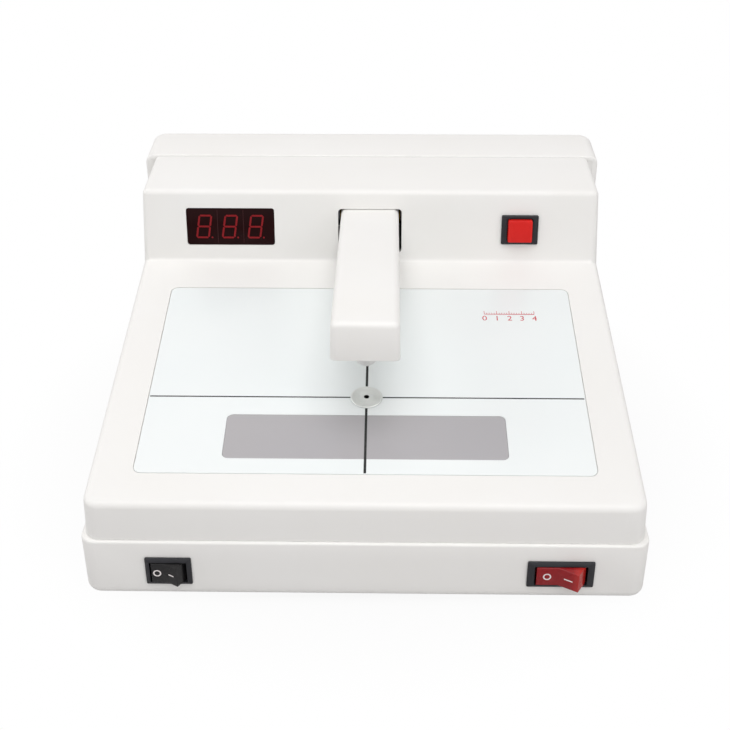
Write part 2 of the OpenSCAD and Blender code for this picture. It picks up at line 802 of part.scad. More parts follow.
arm_tail = arm_h / 2;
arm_inner = arm_w - 2 * arm_wall;
bush_d = 8;
bush_flange_d = 11;
bush_flange_t = 0.8;
bracket_gap = bush_flange_t + loose;
bracket_t = 2;
bracket_boss = 2;
bracket_boss_d = 8;
bracket_wing = 13;
bracket_front = 14;
bracket_screw_x = 7;
bracket_edge = 6;
bracket_end = 8;
ear_x = arm_w / 2 + bracket_gap;
ear_d = 13;
bracket_l = 32;
bracket_z = z_top - wall - bracket_boss - bracket_t;
spring_air = 0.25;
spring_d = 2 * (arm_h / 2 - arm_wall - spring_air);
spring_wire = 1;
spring_l = 10;
spring_leg = 25;
flag_t = 1.5;
flag_reach = 6;
flag_up = 5;
arm_screw_l = 9;
arm_boss_d = 6;
arm_boss_in = 3;
arm_boss_front = 9;
arm_boss_back = 55.5;

module at_bracket_screws() {
    for (x = [-1, 1], y = [bracket_edge, bracket_l - bracket_end])
        translate([x * (ear_x + bracket_t + bracket_screw_x), pivot_y - bracket_front + y,
            bracket_z + bracket_t]) children();
}

module arm_cover() {
    color(white) on_arm() difference() {
        union() {
            difference() {
                intersection() {
                    rotate([90, 0, 90]) linear_extrude(arm_w, center = true)
                        polygon(rounded([[-arm_reach, -arm_h / 2], [arm_tail, -arm_h / 2],
                            [arm_tail, arm_h / 2], [-arm_reach, arm_h / 2]],
                            [1, arm_tail * 0.95, arm_tail * 0.95, arm_edge_r]));
                    translate([0, 0, -arm_h]) linear_extrude(2 * arm_h)
                        polygon(rounded([[-arm_w / 2, -arm_reach], [arm_w / 2, -arm_reach],
                            [arm_w / 2, arm_tail], [-arm_w / 2, arm_tail]],
                            [arm_edge_r, arm_edge_r, 0, 0]));
                }
                translate([-arm_inner / 2, -arm_reach + arm_wall, -arm_h / 2 - 1])
                    cube([arm_inner, arm_reach - arm_wall, arm_h - arm_wall + 1]);
                rotate([0, 90, 0])
                    cylinder(r = arm_tail - arm_wall, h = arm_inner, center = true);
            }
            // Bosses for the base plate's screws
            at_arm_screws() cylinder(d = arm_boss_d, h = arm_h - arm_base_t - fit - arm_wall / 2);
            // The flag that the fork sensor sees
            translate([-flag_t / 2, arm_tail - arm_wall / 2, -2])
                cube([flag_t, arm_wall / 2 + flag_reach, 2 + flag_up]);
        }
        // Rounded long edges
        for (s = [-1, 1]) translate([s * (arm_w / 2 - arm_edge_r), -arm_reach - 1,
            arm_h / 2 - arm_edge_r]) rotate([-90, 0, 0]) difference() {
            translate([s * arm_edge_r / 2 + s * eps, -arm_edge_r / 2 - eps,
                (arm_reach + arm_tail) / 2 + 1])
                cube([arm_edge_r + 2 * eps, arm_edge_r + 2 * eps, arm_reach + arm_tail + 2],
                    center = true);
            cylinder(r = arm_edge_r, h = arm_reach + arm_tail + 4, center = false);
        }
        rotate([0, 90, 0]) cylinder(d = bush_d + eps, h = arm_w + 2, center = true);
        at_arm_screws() translate([0, 0, -1])
            cylinder(d = small_screw_d + fit, h = arm_screw_l + 1);
        // Notch for the spring's standing leg
        translate([spring_l / 2 - spring_wire - 1, spring_wire / 2, 0])
            cube([spring_wire + 2, arm_tail, arm_h / 2 + 1]);
    }
}

module at_arm_screws() {
    for (y = [arm_boss_front - arm_reach, -arm_boss_back], x = [-1, 1])
        translate([x * (arm_inner / 2 - arm_boss_in), y, -arm_h / 2 + arm_base_t + fit])
            children();
}

module arm_base() {
    color(white) difference() {
        on_arm(-arm_reach + arm_wall + fit, -arm_h / 2) translate([-arm_inner / 2 + fit, 0, 0])
            cube([arm_inner - 2 * fit, arm_reach - arm_wall - fit - bush_flange_d, arm_base_t]);
        on_arm() at_arm_screws() translate([0, 0, -arm_base_t - 1])
            cylinder(d = small_screw_d + 2 * fit, h = arm_base_t + 2);
        raised() on_deck(0, aperture_l) cylinder(d = nozzle_d + 2 * fit, h = nozzle_len + arm_h);
    }
}

module arm_bushes() {
    color([0.75, 0.6, 0.35]) on_arm() for (s = [-1, 1]) rotate([0, s * 90, 0])
        translate([0, 0, arm_w / 2 - arm_wall]) difference() {
            union() {
                cylinder(d = bush_d, h = arm_wall + bush_flange_t);
                translate([0, 0, arm_wall]) cylinder(d = bush_flange_d, h = bush_flange_t);
            }
            translate([0, 0, -1]) cylinder(d = pin_d + 2 * running, h = arm_wall + 3);
        }
}

module arm_screws() {
    color(steel) on_arm() at_arm_screws() translate([0, 0, -arm_base_t - fit])
        rotate([180, 0, 0]) screw(small_screw_d, arm_screw_l);
}

sensor_d = 9.2;
sensor_h = 4;
sensor_board_w = 22;
sensor_board_l = 42;
sensor_board_ahead = 12;

module probe_nozzle() {
    color([0.9, 0.9, 0.88]) raised() on_deck(0, aperture_l, nozzle_start) difference() {
        union() {
            cylinder(d1 = tip_d, d2 = nozzle_d, h = cone_l);
            translate([0, 0, cone_l - eps])
                cylinder(d = nozzle_d, h = nozzle_len - cone_l + nozzle_flange_t);
            translate([0, 0, nozzle_len]) cylinder(d = nozzle_flange_d, h = nozzle_flange_t);
        }
        translate([0, 0, -1]) cylinder(d = nozzle_bore, h = nozzle_len + nozzle_flange_t + 2);
    }
}

module photo_sensor() {
    color(steel) raised() on_deck(0, aperture_l, nozzle_start + nozzle_len + nozzle_flange_t)
        cylinder(d = sensor_d, h = sensor_h);
}

module sensor_board() {
    color([0.1, 0.35, 0.2]) raised()
        on_deck(0, aperture_l, nozzle_start + nozzle_len + nozzle_flange_t + sensor_h)
        translate([-sensor_board_w / 2, -sensor_board_ahead, 0])
            cube([sensor_board_w, sensor_board_l, pcb_t]);
}

module pivot_bracket() {
    color(steel) difference() {
        union() {
            translate([-(ear_x + bracket_t + bracket_wing), pivot_y - bracket_front, bracket_z])
                cube([2 * (ear_x + bracket_t + bracket_wing), bracket_l, bracket_t]);
            for (s = [-1, 1]) translate([s * (ear_x + bracket_t / 2) - bracket_t / 2, 0, 0]) {
                translate([0, pivot_y - ear_d / 2, pivot_z])
                    cube([bracket_t, ear_d, bracket_z - pivot_z + eps]);
                translate([0, pivot_y, pivot_z]) rotate([0, 90, 0])
                    cylinder(d = ear_d, h = bracket_t);
            }
        }
        translate([0, pivot_y, pivot_z]) rotate([0, 90, 0])
            cylinder(d = pin_d + eps, h = 2 * ear_x + 2 * bracket_t + 2, center = true);
        at_bracket_screws() translate([0, 0, -bracket_t - 1])
            cylinder(d = bracket_screw_d + 2 * fit, h = bracket_t + 2);
    }
}

module bracket_screws() {
    color(steel) at_bracket_screws() translate([0, 0, -bracket_t]) rotate([180, 0, 0])
        screw(bracket_screw_d, bracket_t + bracket_boss + 1);
}

pin_over = 2.4;
clip_t = 0.8;
clip_rim = 2;
module pivot_pin() {
    color(steel) translate([0, pivot_y, pivot_z]) rotate([0, 90, 0])
        cylinder(d = pin_d, h = 2 * (ear_x + bracket_t + pin_over), center = true);
}

module pivot_clips() {
    color(steel) for (s = [-1, 1]) translate([s * (ear_x + bracket_t), pivot_y, pivot_z])
        rotate([0, s * 90, 0]) tube(pin_d + 2 * clip_rim, pin_d + eps, clip_t);
}

// A forked sensor behind the pivot sees the flag on the arm's tail rise when the arm is down
fork_h = 10;
fork_w = 9;
fork_l = 5;
fork_gap = 3;
fork_bridge = 4;
fork_back = 2.5;
module fork_sensor() {
    color(dark) translate([0, pivot_y + arm_tail + fork_back, bracket_z - fork_h]) difference() {
        translate([-fork_w / 2, 0, 0]) cube([fork_w, fork_l, fork_h]);
        translate([-fork_gap / 2, -1, -1]) cube([fork_gap, fork_l + 2, fork_h - fork_bridge + 1]);
    }
}

module arm_return_spring() {
    mid = (spring_d - spring_wire) / 2;
    color(steel) {
        translate([-spring_l / 2, pivot_y, pivot_z]) rotate([0, 90, 0])
            tube(spring_d, spring_d - 2 * spring_wire, spring_l);
        translate([(spring_l - spring_wire) / 2, pivot_y + mid, pivot_z])
            cylinder(d = spring_wire, h = bracket_z - pivot_z);
        on_arm() translate([-(spring_l - spring_wire) / 2, 0, mid]) rotate([90, 0, 0])
            cylinder(d = spring_wire, h = spring_leg);
    }
}

// ---------------------------------------------------------------- inside and rear

board_w = 130;
board_l = 96;
board_x = -30;
board_rim = 5;
board_front = 104;
board_y = y_front + board_front;
board_hole_x = board_w / 2 - board_rim;
board_hole_y = board_l - 2 * board_rim;
standoff_d = 5;
standoff_h = 6;
board_up = wall + board_pad_h + standoff_h;
chip = [9, 22, 4];
chips = 4;
chip_pitch = 22;
chip_at = [-45, 20];
processor = [22, 22, 4.5];
processor_at = [-40, 55];
capacitor_d = 10;
capacitor_h = 14;
capacitor_pitch = 16;
capacitor_at = [5, 66];

module at_board_holes(z) {
    for (x = [-1, 1], y = [0, 1]) translate([board_x + x * board_hole_x,
        board_y + y * board_hole_y, z_under + z]) children();
}

module board_standoffs() {
    color(steel) at_board_holes(wall + board_pad_h)
        tube(standoff_d, small_screw_d + fit, standoff_h);
}

module main_board() {
    color([0.1, 0.35, 0.2]) difference() {
        translate([board_x - board_w / 2, board_y - board_rim, z_under + board_up])
            cube([board_w, board_l, pcb_t]);
        at_board_holes(board_up - 1) cylinder(d = small_screw_d + 2 * fit, h = pcb_t + 2);
    }
}

module board_screws() {
    color(steel) at_board_holes(board_up + pcb_t) screw(small_screw_d, standoff_h);
}

module board_chips() {
    color(dark) translate([board_x, board_y, z_under + board_up + pcb_t]) {
        for (i = [0 : chips - 1]) translate([chip_at[0] + i * chip_pitch, chip_at[1], 0])
            cube(chip);
        translate([processor_at[0], processor_at[1], 0]) cube(processor);
        for (i = [0 : 2]) translate([capacitor_at[0] + i * capacitor_pitch, capacitor_at[1], 0])
            cylinder(d = capacitor_d, h = capacitor_h);
    }
}

trafo_back = 44;
core = [46, 22, 38];
winding = [30, 38, 30];
trafo_lug = [8, 14, 1.5];
module transformer() {
    color([0.45, 0.4, 0.35]) translate([inlet_x, y_rear - trafo_back, z_under + wall]) {
        translate([-core[0] / 2, -core[1] / 2, 0]) cube(core);
        translate([-winding[0] / 2, -winding[1] / 2, (core[2] - winding[2]) / 2]) cube(winding);
        for (s = [-1, 1]) translate([s * (core[0] + trafo_lug[0] - 1) / 2 - trafo_lug[0] / 2,
            -trafo_lug[1] / 2, 0]) cube(trafo_lug);
    }
}

inlet_body_w = 27.8;
inlet_body_h = 19.8;
inlet_flange_w = 50;
inlet_flange_h = 22.6;
inlet_hole_x = 20;
inlet_screw_d = 3;
inlet_depth = 22;
inlet_r = 1.5;
socket_w = 24.4;
socket_h = 16.4;
socket_depth = 16;
socket_pin = [2, 4, 22];
socket_pin_back = 6;
socket_pins = [[-7, -1.5], [0, 2.5], [7, -1.5]];
module mains_inlet() {
    color(dark) on_rear(inlet_x, inlet_up) {
        difference() {
            union() {
                plate(inlet_flange_w, inlet_flange_h, inlet_rise, 4);
                translate([0, 0, -inlet_depth])
                    plate(inlet_body_w, inlet_body_h, inlet_depth + eps, inlet_r);
            }
            translate([0, 0, -socket_depth])
                plate(socket_w, socket_h, socket_depth + inlet_rise + 1, 3);
            for (s = [-1, 1]) translate([s * inlet_hole_x, 0, -1])
                cylinder(d = inlet_screw_d + 2 * fit, h = inlet_rise + 2);
        }
        // Line, earth and neutral pins
        for (p = socket_pins) translate([p[0] - socket_pin[0] / 2, p[1] - socket_pin[1] / 2,
            -inlet_depth - socket_pin_back]) cube(socket_pin);
    }
}

module inlet_screws() {
    color(steel) on_rear(inlet_x, inlet_up) for (s = [-1, 1])
        translate([s * inlet_hole_x, 0, inlet_rise])
            screw(inlet_screw_d, inlet_rise + wall + 4);
}

module fuse_holder() {
    color(dark) on_rear(fuse_x, inlet_up) {
        cylinder(d = fuse_d + 2 * fuse_rim, h = inlet_rise);
        translate([0, 0, -fuse_l]) cylinder(d = fuse_d, h = fuse_l + eps);
        translate([0, 0, -fuse_l - fuse_tag]) cylinder(d = fuse_d / 4, h = fuse_tag + 1);
    }
}

foot_recess = 1;
module at_feet() {
    for (x = [-1, 1], y = [y_front + foot_inset, y_rear - foot_inset])
        translate([x * (base_w / 2 - foot_inset), y, z_under]) children();
}

module rubber_feet() {
    color([0.12, 0.12, 0.12]) at_feet() translate([0, 0, -foot_h])
        cylinder(d = foot_d, h = foot_h + foot_recess);
}

module case_screws() {
    color(steel) at_posts() translate([0, 0, head_up]) rotate([180, 0, 0])
        screw(screw_d, screw_length);
}

base_shell();
top_shell();
stage_overlay();
viewer_window();
aperture_disc();
viewer_reflector();
viewer_tube();
tube_holders();
viewer_ballast();
lamp_housing();
condenser_lens();
measuring_lamp();
display_window();
display_digits();
display_board();
button_housing();
button_spring();
button_cap();
viewer_switch_housing();
viewer_rocker();
power_switch_housing();
power_neon();
power_rocker();
pivot_bracket();
bracket_screws();
pivot_pin();
pivot_clips();
fork_sensor();
arm_return_spring();
arm_cover();
arm_base();
arm_bushes();
arm_screws();
probe_nozzle();
photo_sensor();
sensor_board();
transformer();
main_board();
board_chips();
board_standoffs();
board_screws();
mains_inlet();
inlet_screws();
fuse_holder();
case_screws();
rubber_feet();
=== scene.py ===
"""The looks of a bench film densitometer, built around its packed construction.

Every length is in metres, in the construction's own frame: the front faces -Y and +Z is up.
"""

import math

import bmesh
import bpy
from bpy.props import FloatProperty, FloatVectorProperty, PointerProperty
from bpy.types import Operator, Panel, PropertyGroup
from mathutils import Matrix, Vector


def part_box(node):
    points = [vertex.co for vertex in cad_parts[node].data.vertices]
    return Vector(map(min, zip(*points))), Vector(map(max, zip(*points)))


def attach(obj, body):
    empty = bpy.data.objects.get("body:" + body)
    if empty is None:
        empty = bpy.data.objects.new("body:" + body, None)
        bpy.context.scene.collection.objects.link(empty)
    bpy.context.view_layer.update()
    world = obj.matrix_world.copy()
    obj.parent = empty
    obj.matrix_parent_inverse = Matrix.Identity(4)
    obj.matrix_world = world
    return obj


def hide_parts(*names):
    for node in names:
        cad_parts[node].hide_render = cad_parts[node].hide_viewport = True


bl_info = {
    "name": "Film densitometer",
    "version": (1, 0, 0),
    "blender": (4, 5, 0),
    "location": "3D View > Sidebar > Densitometer",
    "description": "Models and finishes a bench film densitometer piece by piece",
    "category": "Object",
}

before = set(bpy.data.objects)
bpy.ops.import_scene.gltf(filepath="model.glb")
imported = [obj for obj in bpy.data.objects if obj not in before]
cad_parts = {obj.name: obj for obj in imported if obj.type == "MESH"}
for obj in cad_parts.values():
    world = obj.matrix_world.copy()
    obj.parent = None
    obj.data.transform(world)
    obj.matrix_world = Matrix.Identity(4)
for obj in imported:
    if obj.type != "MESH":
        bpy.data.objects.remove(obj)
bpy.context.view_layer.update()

MM = 0.001
NEAR = 0.00002                      # places nearer than this are the same
CASE_SCREW = 3.5 * MM               # shank of the case screws; a head is twice as wide
INLET_SCREWS = (-20 * MM, 20 * MM)  # places of the screws beside the mains inlet
SPRING_BORE = 7.6 * MM              # bores in the button and its housing for the spring
INK = 0.03 * MM                     # height of the printing above the overlay
SCALE_AT = (73.5 * MM, 137.5 * MM)  # place of the ruled scale on the deck
NECK = 7.8 * MM                     # diameter of the aperture disc's neck under the deck
# A standard three-pin mains inlet: its flange, its body and its pins' places
INLET_FLANGE = (50 * MM, 22.6 * MM)
INLET_BODY = (27.8 * MM, 19.8 * MM)
INLET_PINS = ((-7 * MM, -1.5 * MM), (0, 2.5 * MM), (7 * MM, -1.5 * MM))
# The camera, fitted to the photo's straight edges and corners
CAMERA_AT = (0.00966, -0.58008, 0.40733)
CAMERA_AIM = (1.147, 31.95, -0.238)  # degrees: to the left, down, and about its own axis
CAMERA_LENS = 63.03                 # focal length in mm, for a 36 mm sensor
# The lamps' names, places, sizes and powers, fitted to the photo's tones; they aim here
LAMP_AIM = (0, 0, 0.06)
LAMPS = (("KeyLamp", (0, -0.5, 1.3), 0.9, 8.2),
         ("FillLamp", (0.95, -0.9, 0.8), 0.9, 3.5),
         ("SideLamp", (-1.1, 0.1, 0.7), 0.8, 3.6))


def low(node):
    """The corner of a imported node's box with the least X, Y and Z."""
    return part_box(node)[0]


def high(node):
    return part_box(node)[1]


def middle_of(node):
    return (low(node) + high(node)) / 2


def corners_of(node, inset):
    """X and Y of the four like pieces in the corners of a node's box, each as wide as 2 insets."""
    return [(x, y) for x in (low(node).x + inset, high(node).x - inset)
            for y in (low(node).y + inset, high(node).y - inset)]


def linear(value):
    """Turns an sRGB hex value into a linear colour."""
    parts = [int(value[i:i + 2], 16) / 255 for i in (0, 2, 4)]
    parts = [p / 12.92 if p <= 0.04045 else ((p + 0.055) / 1.055) ** 2.4 for p in parts]
    return (*parts, 1.0)


def length_of(default, text):
    return FloatProperty(description=text, default=default, min=0.0, unit="LENGTH", precision=5)


def angle_of(degrees, text):
    return FloatProperty(description=text, default=math.radians(degrees), subtype="ANGLE")


def colour_of(value, text):
    return FloatVectorProperty(
        description=text, default=linear(value), size=4, min=0.0, max=1.0, subtype="COLOR")


class CaseSizes(PropertyGroup):
    """Sizes of the two shells."""

    deck_tilt: angle_of(8.7, "Slope of the deck")
    deck_length: length_of(0.183815, "Length of the deck along its slope")
    edge_up: length_of(0.0552, "Height of the deck's front edge above the bench")
    console_lean: angle_of(8.0, "Lean of the console's face")
    side_draft: angle_of(2.4, "Draft of the top shell's sides")
    wall: length_of(0.003, "Thickness of both shells")
    seam_up: length_of(0.0348, "Height of the seam above the bench")
    seam_gap: length_of(0.0006, "Gap between the shells at the rear part")
    seam_shadow: length_of(0.00015, "Gap under the top shell's skirt")
    front_corner: length_of(0.007, "Radius of the upright front corners")
    rear_corner: length_of(0.008, "Radius of the rear part's outer edges")
    edge: length_of(0.003, "Radius of the deck's and the console's edges")
    knee: length_of(0.0018, "Radius of the fillet at the console's foot")
    lower_edge: length_of(0.005, "Radius of the base shell's lower edges")
    rim: length_of(0.0011, "Radius of the base shell's rim")
    foot_width: length_of(0.015, "Diameter of the rubber feet")


class StageSizes(PropertyGroup):
    """Sizes on the sloping stage, along the deck from its front edge."""

    overlay_width: length_of(0.2115, "Width of the printed overlay")
    overlay_length: length_of(0.138815, "Length of the printed overlay")
    overlay_start: length_of(0.020, "From the deck's edge to the overlay")
    overlay_thick: length_of(0.001, "Thickness of the overlay")
    overlay_gap: length_of(0.0004, "Gap round the overlay")
    overlay_corner: length_of(0.0035, "Radius of the overlay's corners")
    window_width: length_of(0.1326, "Width of the viewer window")
    window_length: length_of(0.0297, "Length of the viewer window")
    window_start: length_of(0.0296, "From the deck's edge to the window")
    window_thick: length_of(0.002, "Thickness of the viewer window")
    window_corner: length_of(0.003, "Radius of the window's corners")
    aperture_at: length_of(0.0719, "From the deck's edge to the aperture")
    disc_width: length_of(0.0153, "Diameter of the aperture disc")
    disc_rise: length_of(0.0005, "Height of the disc above the overlay")
    hole: length_of(0.0018, "Diameter of the aperture")
    cross_line: length_of(0.0008, "Width of the line across the stage")
    long_line: length_of(0.0012, "Width of the line up the stage")


class ConsoleSizes(PropertyGroup):
    """Sizes on the console's leaning face, up the face from its foot."""

    display_x: length_of(0.07605, "Left of the middle")
    display_up: length_of(0.0196, "Up the face")
    display_width: length_of(0.0479, "Width of the display window")
    display_tall: length_of(0.02075, "Height of the display window")
    display_thick: length_of(0.002, "Thickness of the window")
    digit_pitch: length_of(0.0141, "From digit to digit")
    digit_tall: length_of(0.0134, "Height of a digit")
    digit_width: length_of(0.0075, "Width of a digit")
    digit_slant: angle_of(9.0, "Slant of the digits")
    stroke: length_of(0.0010, "Width of a segment")
    point: length_of(0.0010, "Diameter of a decimal point")
    button_x: length_of(0.0815, "Right of the middle")
    button_up: length_of(0.0187, "Up the face")
    button_width: length_of(0.0199, "Width of the bezel")
    button_tall: length_of(0.0163, "Height of the bezel")
    button_rise: length_of(0.0015, "Height of the bezel off the face")
    cap_width: length_of(0.0129, "Width of the red cap")
    cap_tall: length_of(0.012, "Height of the red cap")
    cap_rise: length_of(0.0032, "Height of the cap above its bezel")
    slot_width: length_of(0.0346, "Width of the arm's slot")
    slot_low: length_of(0.00502, "Lower edge of the slot up the face")
    slot_high: length_of(0.02986, "Upper edge of the slot up the face")


class RockerSizes(PropertyGroup):
    """Sizes of the two rockers in the front wall."""

    bezel_rise: length_of(0.0018, "Height of the bezels off the wall")
    bezel_rim: length_of(0.0019, "Rim above and below the openings")
    viewer_rim: length_of(0.0021, "Rim at the ends of the viewer rocker's opening")
    power_rim: length_of(0.0032, "Rim at the ends of the power rocker's opening")
    bezel_slope: length_of(0.0009, "Rise of the bezels from their outer edges")
    body_inset: length_of(0.0007, "The body is smaller than its bezel by this")
    body_depth: length_of(0.022, "Depth of a switch's body")
    pivot_deep: length_of(0.0025, "Depth of the pivots behind the wall")
    under: length_of(0.003, "From the pivot down to a rocker's underside")
    middle: length_of(0.0049, "From the pivot up to the middle of a rocker's face")
    lean: angle_of(17.0, "Lean of a rocker's ends")
    clearance: length_of(0.0003, "Gap round a rocker")
    tilt: angle_of(15.0, "Tilt of a rocker to either side")
    ring: length_of(0.0037, "Outer diameter of the O mark")
    bar: length_of(0.0006, "Width of the marks' lines")


class ArmSizes(PropertyGroup):
    """Sizes of the measuring arm, from its pivot."""

    width: length_of(0.0318, "Width of the arm at its open underside")
    tall: length_of(0.0189, "Height of the arm")
    reach: length_of(0.165495, "From the pivot to the arm's front")
    rise: angle_of(5.1, "Rise of the raised arm towards its front")
    travel: angle_of(8.8, "Swing from raised down to the stage")
    wall: length_of(0.0022, "Thickness of the arm's cover")
    taper: length_of(0.0004, "The arm's sides lean in by this up to its top")
    edge: length_of(0.003, "Radius of the arm's outer edges")
    nozzle_width: length_of(0.0106, "Diameter of the nozzle")
    tip_width: length_of(0.005, "Diameter of the nozzle's tip")
    cone: length_of(0.0024, "Length of the nozzle's cone")
    bore: length_of(0.0022, "Bore through the nozzle")
    tip_gap: length_of(0.0003, "Gap left over the disc with the arm down")


class Finishes(PropertyGroup):
    """Colours of the visible finishes."""

    shell: colour_of("F0F0EE", "Moulded white of the case")
    arm: colour_of("F3F3F1", "Moulded white of the arm")
    overlay: colour_of("E8EFEF", "Printed overlay")
    window: colour_of("A9A8AC", "Opal viewer window")
    display: colour_of("180203", "Dark red display filter")
    segments: colour_of("7E1A20", "Unlit display segments")
    button: colour_of("D11A17", "Push button")
    bezel: colour_of("1D1D21", "Moulded black bezels")
    rocker: colour_of("181718", "Black rocker")
    lit_rocker: colour_of("AA141C", "Red see-through rocker")
    red_ink: colour_of("C81E32", "Red print")
    black_ink: colour_of("161616", "Black print")


def case():
    return bpy.context.scene.densitometer_case


def stage_sizes():
    return bpy.context.scene.densitometer_stage


def console():
    return bpy.context.scene.densitometer_console


def rockers():
    return bpy.context.scene.densitometer_rockers


def arm():
    return bpy.context.scene.densitometer_arm


def finishes():
    return bpy.context.scene.densitometer_finishes


# ---------------------------------------------------------------- places


def front_y():
    """Front of the base shell."""
    return low("base_shell").y


def rear_y():
    return high("base_shell").y


def wall_y():
    """Front of the top shell."""
    return low("top_shell").y


def foot():
    """Where the deck meets the console, in side view."""
    sizes = case()
    return Vector((0, wall_y() + sizes.deck_length * math.cos(sizes.deck_tilt),
                   sizes.edge_up + sizes.deck_length * math.sin(sizes.deck_tilt)))


def pivot():
    """Middle of the arm's pivot pin."""
    return middle_of("pivot_pin")


def moved(x=0.0, y=0.0, z=0.0):
    return Matrix.Translation((x, y, z))


def turn_x(angle):
    return Matrix.Rotation(angle, 4, "X")


def turn_y(angle):
    return Matrix.Rotation(angle, 4, "Y")


def turn_z(angle):
    return Matrix.Rotation(angle, 4, "Z")


def on_deck(x=0.0, along=0.0, out=0.0):
    base = moved(0, wall_y(), case().edge_up)
    return base @ turn_x(case().deck_tilt) @ moved(x, along, out)


def on_face(x=0.0, up=0.0, out=0.0):
    lean = math.pi / 2 - case().console_lean
    return Matrix.Translation(foot()) @ turn_x(lean) @ moved(x, up, out)


def on_front(x=0.0, z=0.0, out=0.0):
    return moved(x, front_y() - out, z) @ turn_x(math.pi / 2)


def on_rear(x=0.0, z=0.0, out=0.0):
    turned = turn_x(math.pi / 2) @ turn_y(math.pi)
    return moved(x, rear_y() + out, z) @ turned


def on_arm(y=0.0, z=0.0):
    """The raised arm's frame: Y along the arm to the rear, from the pivot."""
    return Matrix.Translation(pivot()) @ turn_x(-arm().rise) @ moved(0, y, z)


def raised(matrix):
    """Carries what is placed on the stage with the arm down up to the raised arm."""
    centre = pivot()
    swing = Matrix.Translation(centre) @ turn_x(-arm().travel) @ Matrix.Translation(-centre)
    return swing @ matrix


# ---------------------------------------------------------------- modelling


def only(piece):
    """Leaves one object selected and active, in object mode."""
    if bpy.context.mode != "OBJECT":
        bpy.ops.object.mode_set(mode="OBJECT")
    bpy.ops.object.select_all(action="DESELECT")
    if piece is not None:
        piece.select_set(True)
        bpy.context.view_layer.objects.active = piece


def freeze():
    """Applies the active object's place, turn and scale."""
    bpy.ops.object.transform_apply(location=True, rotation=True, scale=True)


def block(name, corner, opposite):
    """A box between two corners."""
    only(None)
    corner, opposite = Vector(corner), Vector(opposite)
    bpy.ops.mesh.primitive_cube_add(size=1, location=(corner + opposite) / 2)
    piece = bpy.context.object
    piece.name = name
    piece.scale = opposite - corner
    freeze()
    return piece


def drum(name, width, bottom, top, sides=48, top_width=None):
    """A round piece on the Z axis; a top width makes it a cone."""
    only(None)
    place = (0, 0, (bottom + top) / 2)
    if top_width is None:
        bpy.ops.mesh.primitive_cylinder_add(
            vertices=sides, radius=width / 2, depth=top - bottom, location=place)
    else:
        bpy.ops.mesh.primitive_cone_add(
            vertices=sides, radius1=width / 2, radius2=top_width / 2, depth=top - bottom,
            location=place)
    piece = bpy.context.object
    piece.name = name
    freeze()
    return piece


def pick(piece, kind, test):
    """Enters edit mode and selects the vertices, edges or faces that pass the test."""
    only(piece)
    bpy.ops.object.mode_set(mode="EDIT")
    bpy.ops.mesh.select_mode(type=kind)
    bpy.ops.mesh.select_all(action="DESELECT")
    mesh = bmesh.from_edit_mesh(piece.data)
    for item in {"VERT": mesh.verts, "EDGE": mesh.edges, "FACE": mesh.faces}[kind]:
        if test(item):
            item.select_set(True)
    bmesh.update_edit_mesh(piece.data)


def shift(piece, test, move):
    """Moves the vertices whose place passes the test."""
    pick(piece, "VERT", lambda v: test(v.co))
    bpy.ops.transform.translate(value=move)
    only(piece)


def narrow(piece, test, across, along=1):
    """Scales the vertices whose place passes the test about the Z axis, in X and in Y."""
    pick(piece, "VERT", lambda v: test(v.co))
    bpy.ops.transform.resize(value=(across, along, 1), center_override=(0, 0, 0))
    only(piece)


def extrude(piece, test, move):
    """Extrudes the faces whose middle and normal pass the test."""
    pick(piece, "FACE", lambda f: test(f.calc_center_median(), f.normal))
    bpy.ops.mesh.extrude_region_move(TRANSFORM_OT_translate={"value": move})
    only(piece)


def round_edges(piece, test, radius, segments=4):
    """Rounds the edges whose two ends pass the test."""
    pick(piece, "EDGE", lambda e: test(e.verts[0].co, e.verts[1].co))
    bpy.ops.mesh.bevel(
        offset=radius, segments=segments, profile=0.5, affect="EDGES", clamp_overlap=True)
    only(piece)


def same(a, b):
    return abs(a - b) < NEAR


def both(a, b, **levels):
    """Whether two places both have the given coordinates."""
    return all(same(getattr(p, axis), level) for p in (a, b) for axis, level in levels.items())


def upright(a, b):
    return same(a.x, b.x) and same(a.y, b.y)


def corner_edges(y):
    """A test for the tall edges in the plane at a given Y."""
    return lambda a, b: both(a, b, y=y) and abs(a.z - b.z) > 0.01


def at_knee(a, b):
    """Whether an edge runs along the console's foot."""
    level = foot().z
    return (abs(a.z - level) < 0.0001 and abs(b.z - level) < 0.0001
            and abs(a.x - b.x) > 0.1)


def slab(name, width, tall, bottom, top, corner, edge=0.0, segments=6):
    """A plate with round corners in the XY plane, and a rounded top edge."""
    piece = block(name, (-width / 2, -tall / 2, bottom), (width / 2, tall / 2, top))
    if corner:
        round_edges(piece, upright, corner, segments)
    if edge:
        round_edges(piece, lambda a, b: both(a, b, z=top), edge, 3)
    return piece


def turned(name, profile, sides=64):
    """A ring turned from a closed profile of radius and height pairs, about the Z axis."""
    only(None)
    first, height = profile[0]
    bpy.ops.mesh.primitive_circle_add(vertices=sides, radius=first, location=(0, 0, height))
    piece = bpy.context.object
    piece.name = name
    freeze()
    only(piece)
    bpy.ops.object.mode_set(mode="EDIT")
    bpy.ops.mesh.select_mode(type="EDGE")
    bpy.ops.mesh.select_all(action="SELECT")
    before = profile[0]
    for radius, level in profile[1:] + profile[:1]:
        bpy.ops.mesh.extrude_region_move(
            TRANSFORM_OT_translate={"value": (0, 0, level - before[1])})
        grow = radius / before[0]
        bpy.ops.transform.resize(value=(grow, grow, 1), center_override=(0, 0, level))
        before = (radius, level)
    bpy.ops.mesh.select_all(action="SELECT")
    bpy.ops.mesh.remove_doubles(threshold=0.000001)
    bpy.ops.mesh.normals_make_consistent(inside=False)
    only(piece)
    return piece


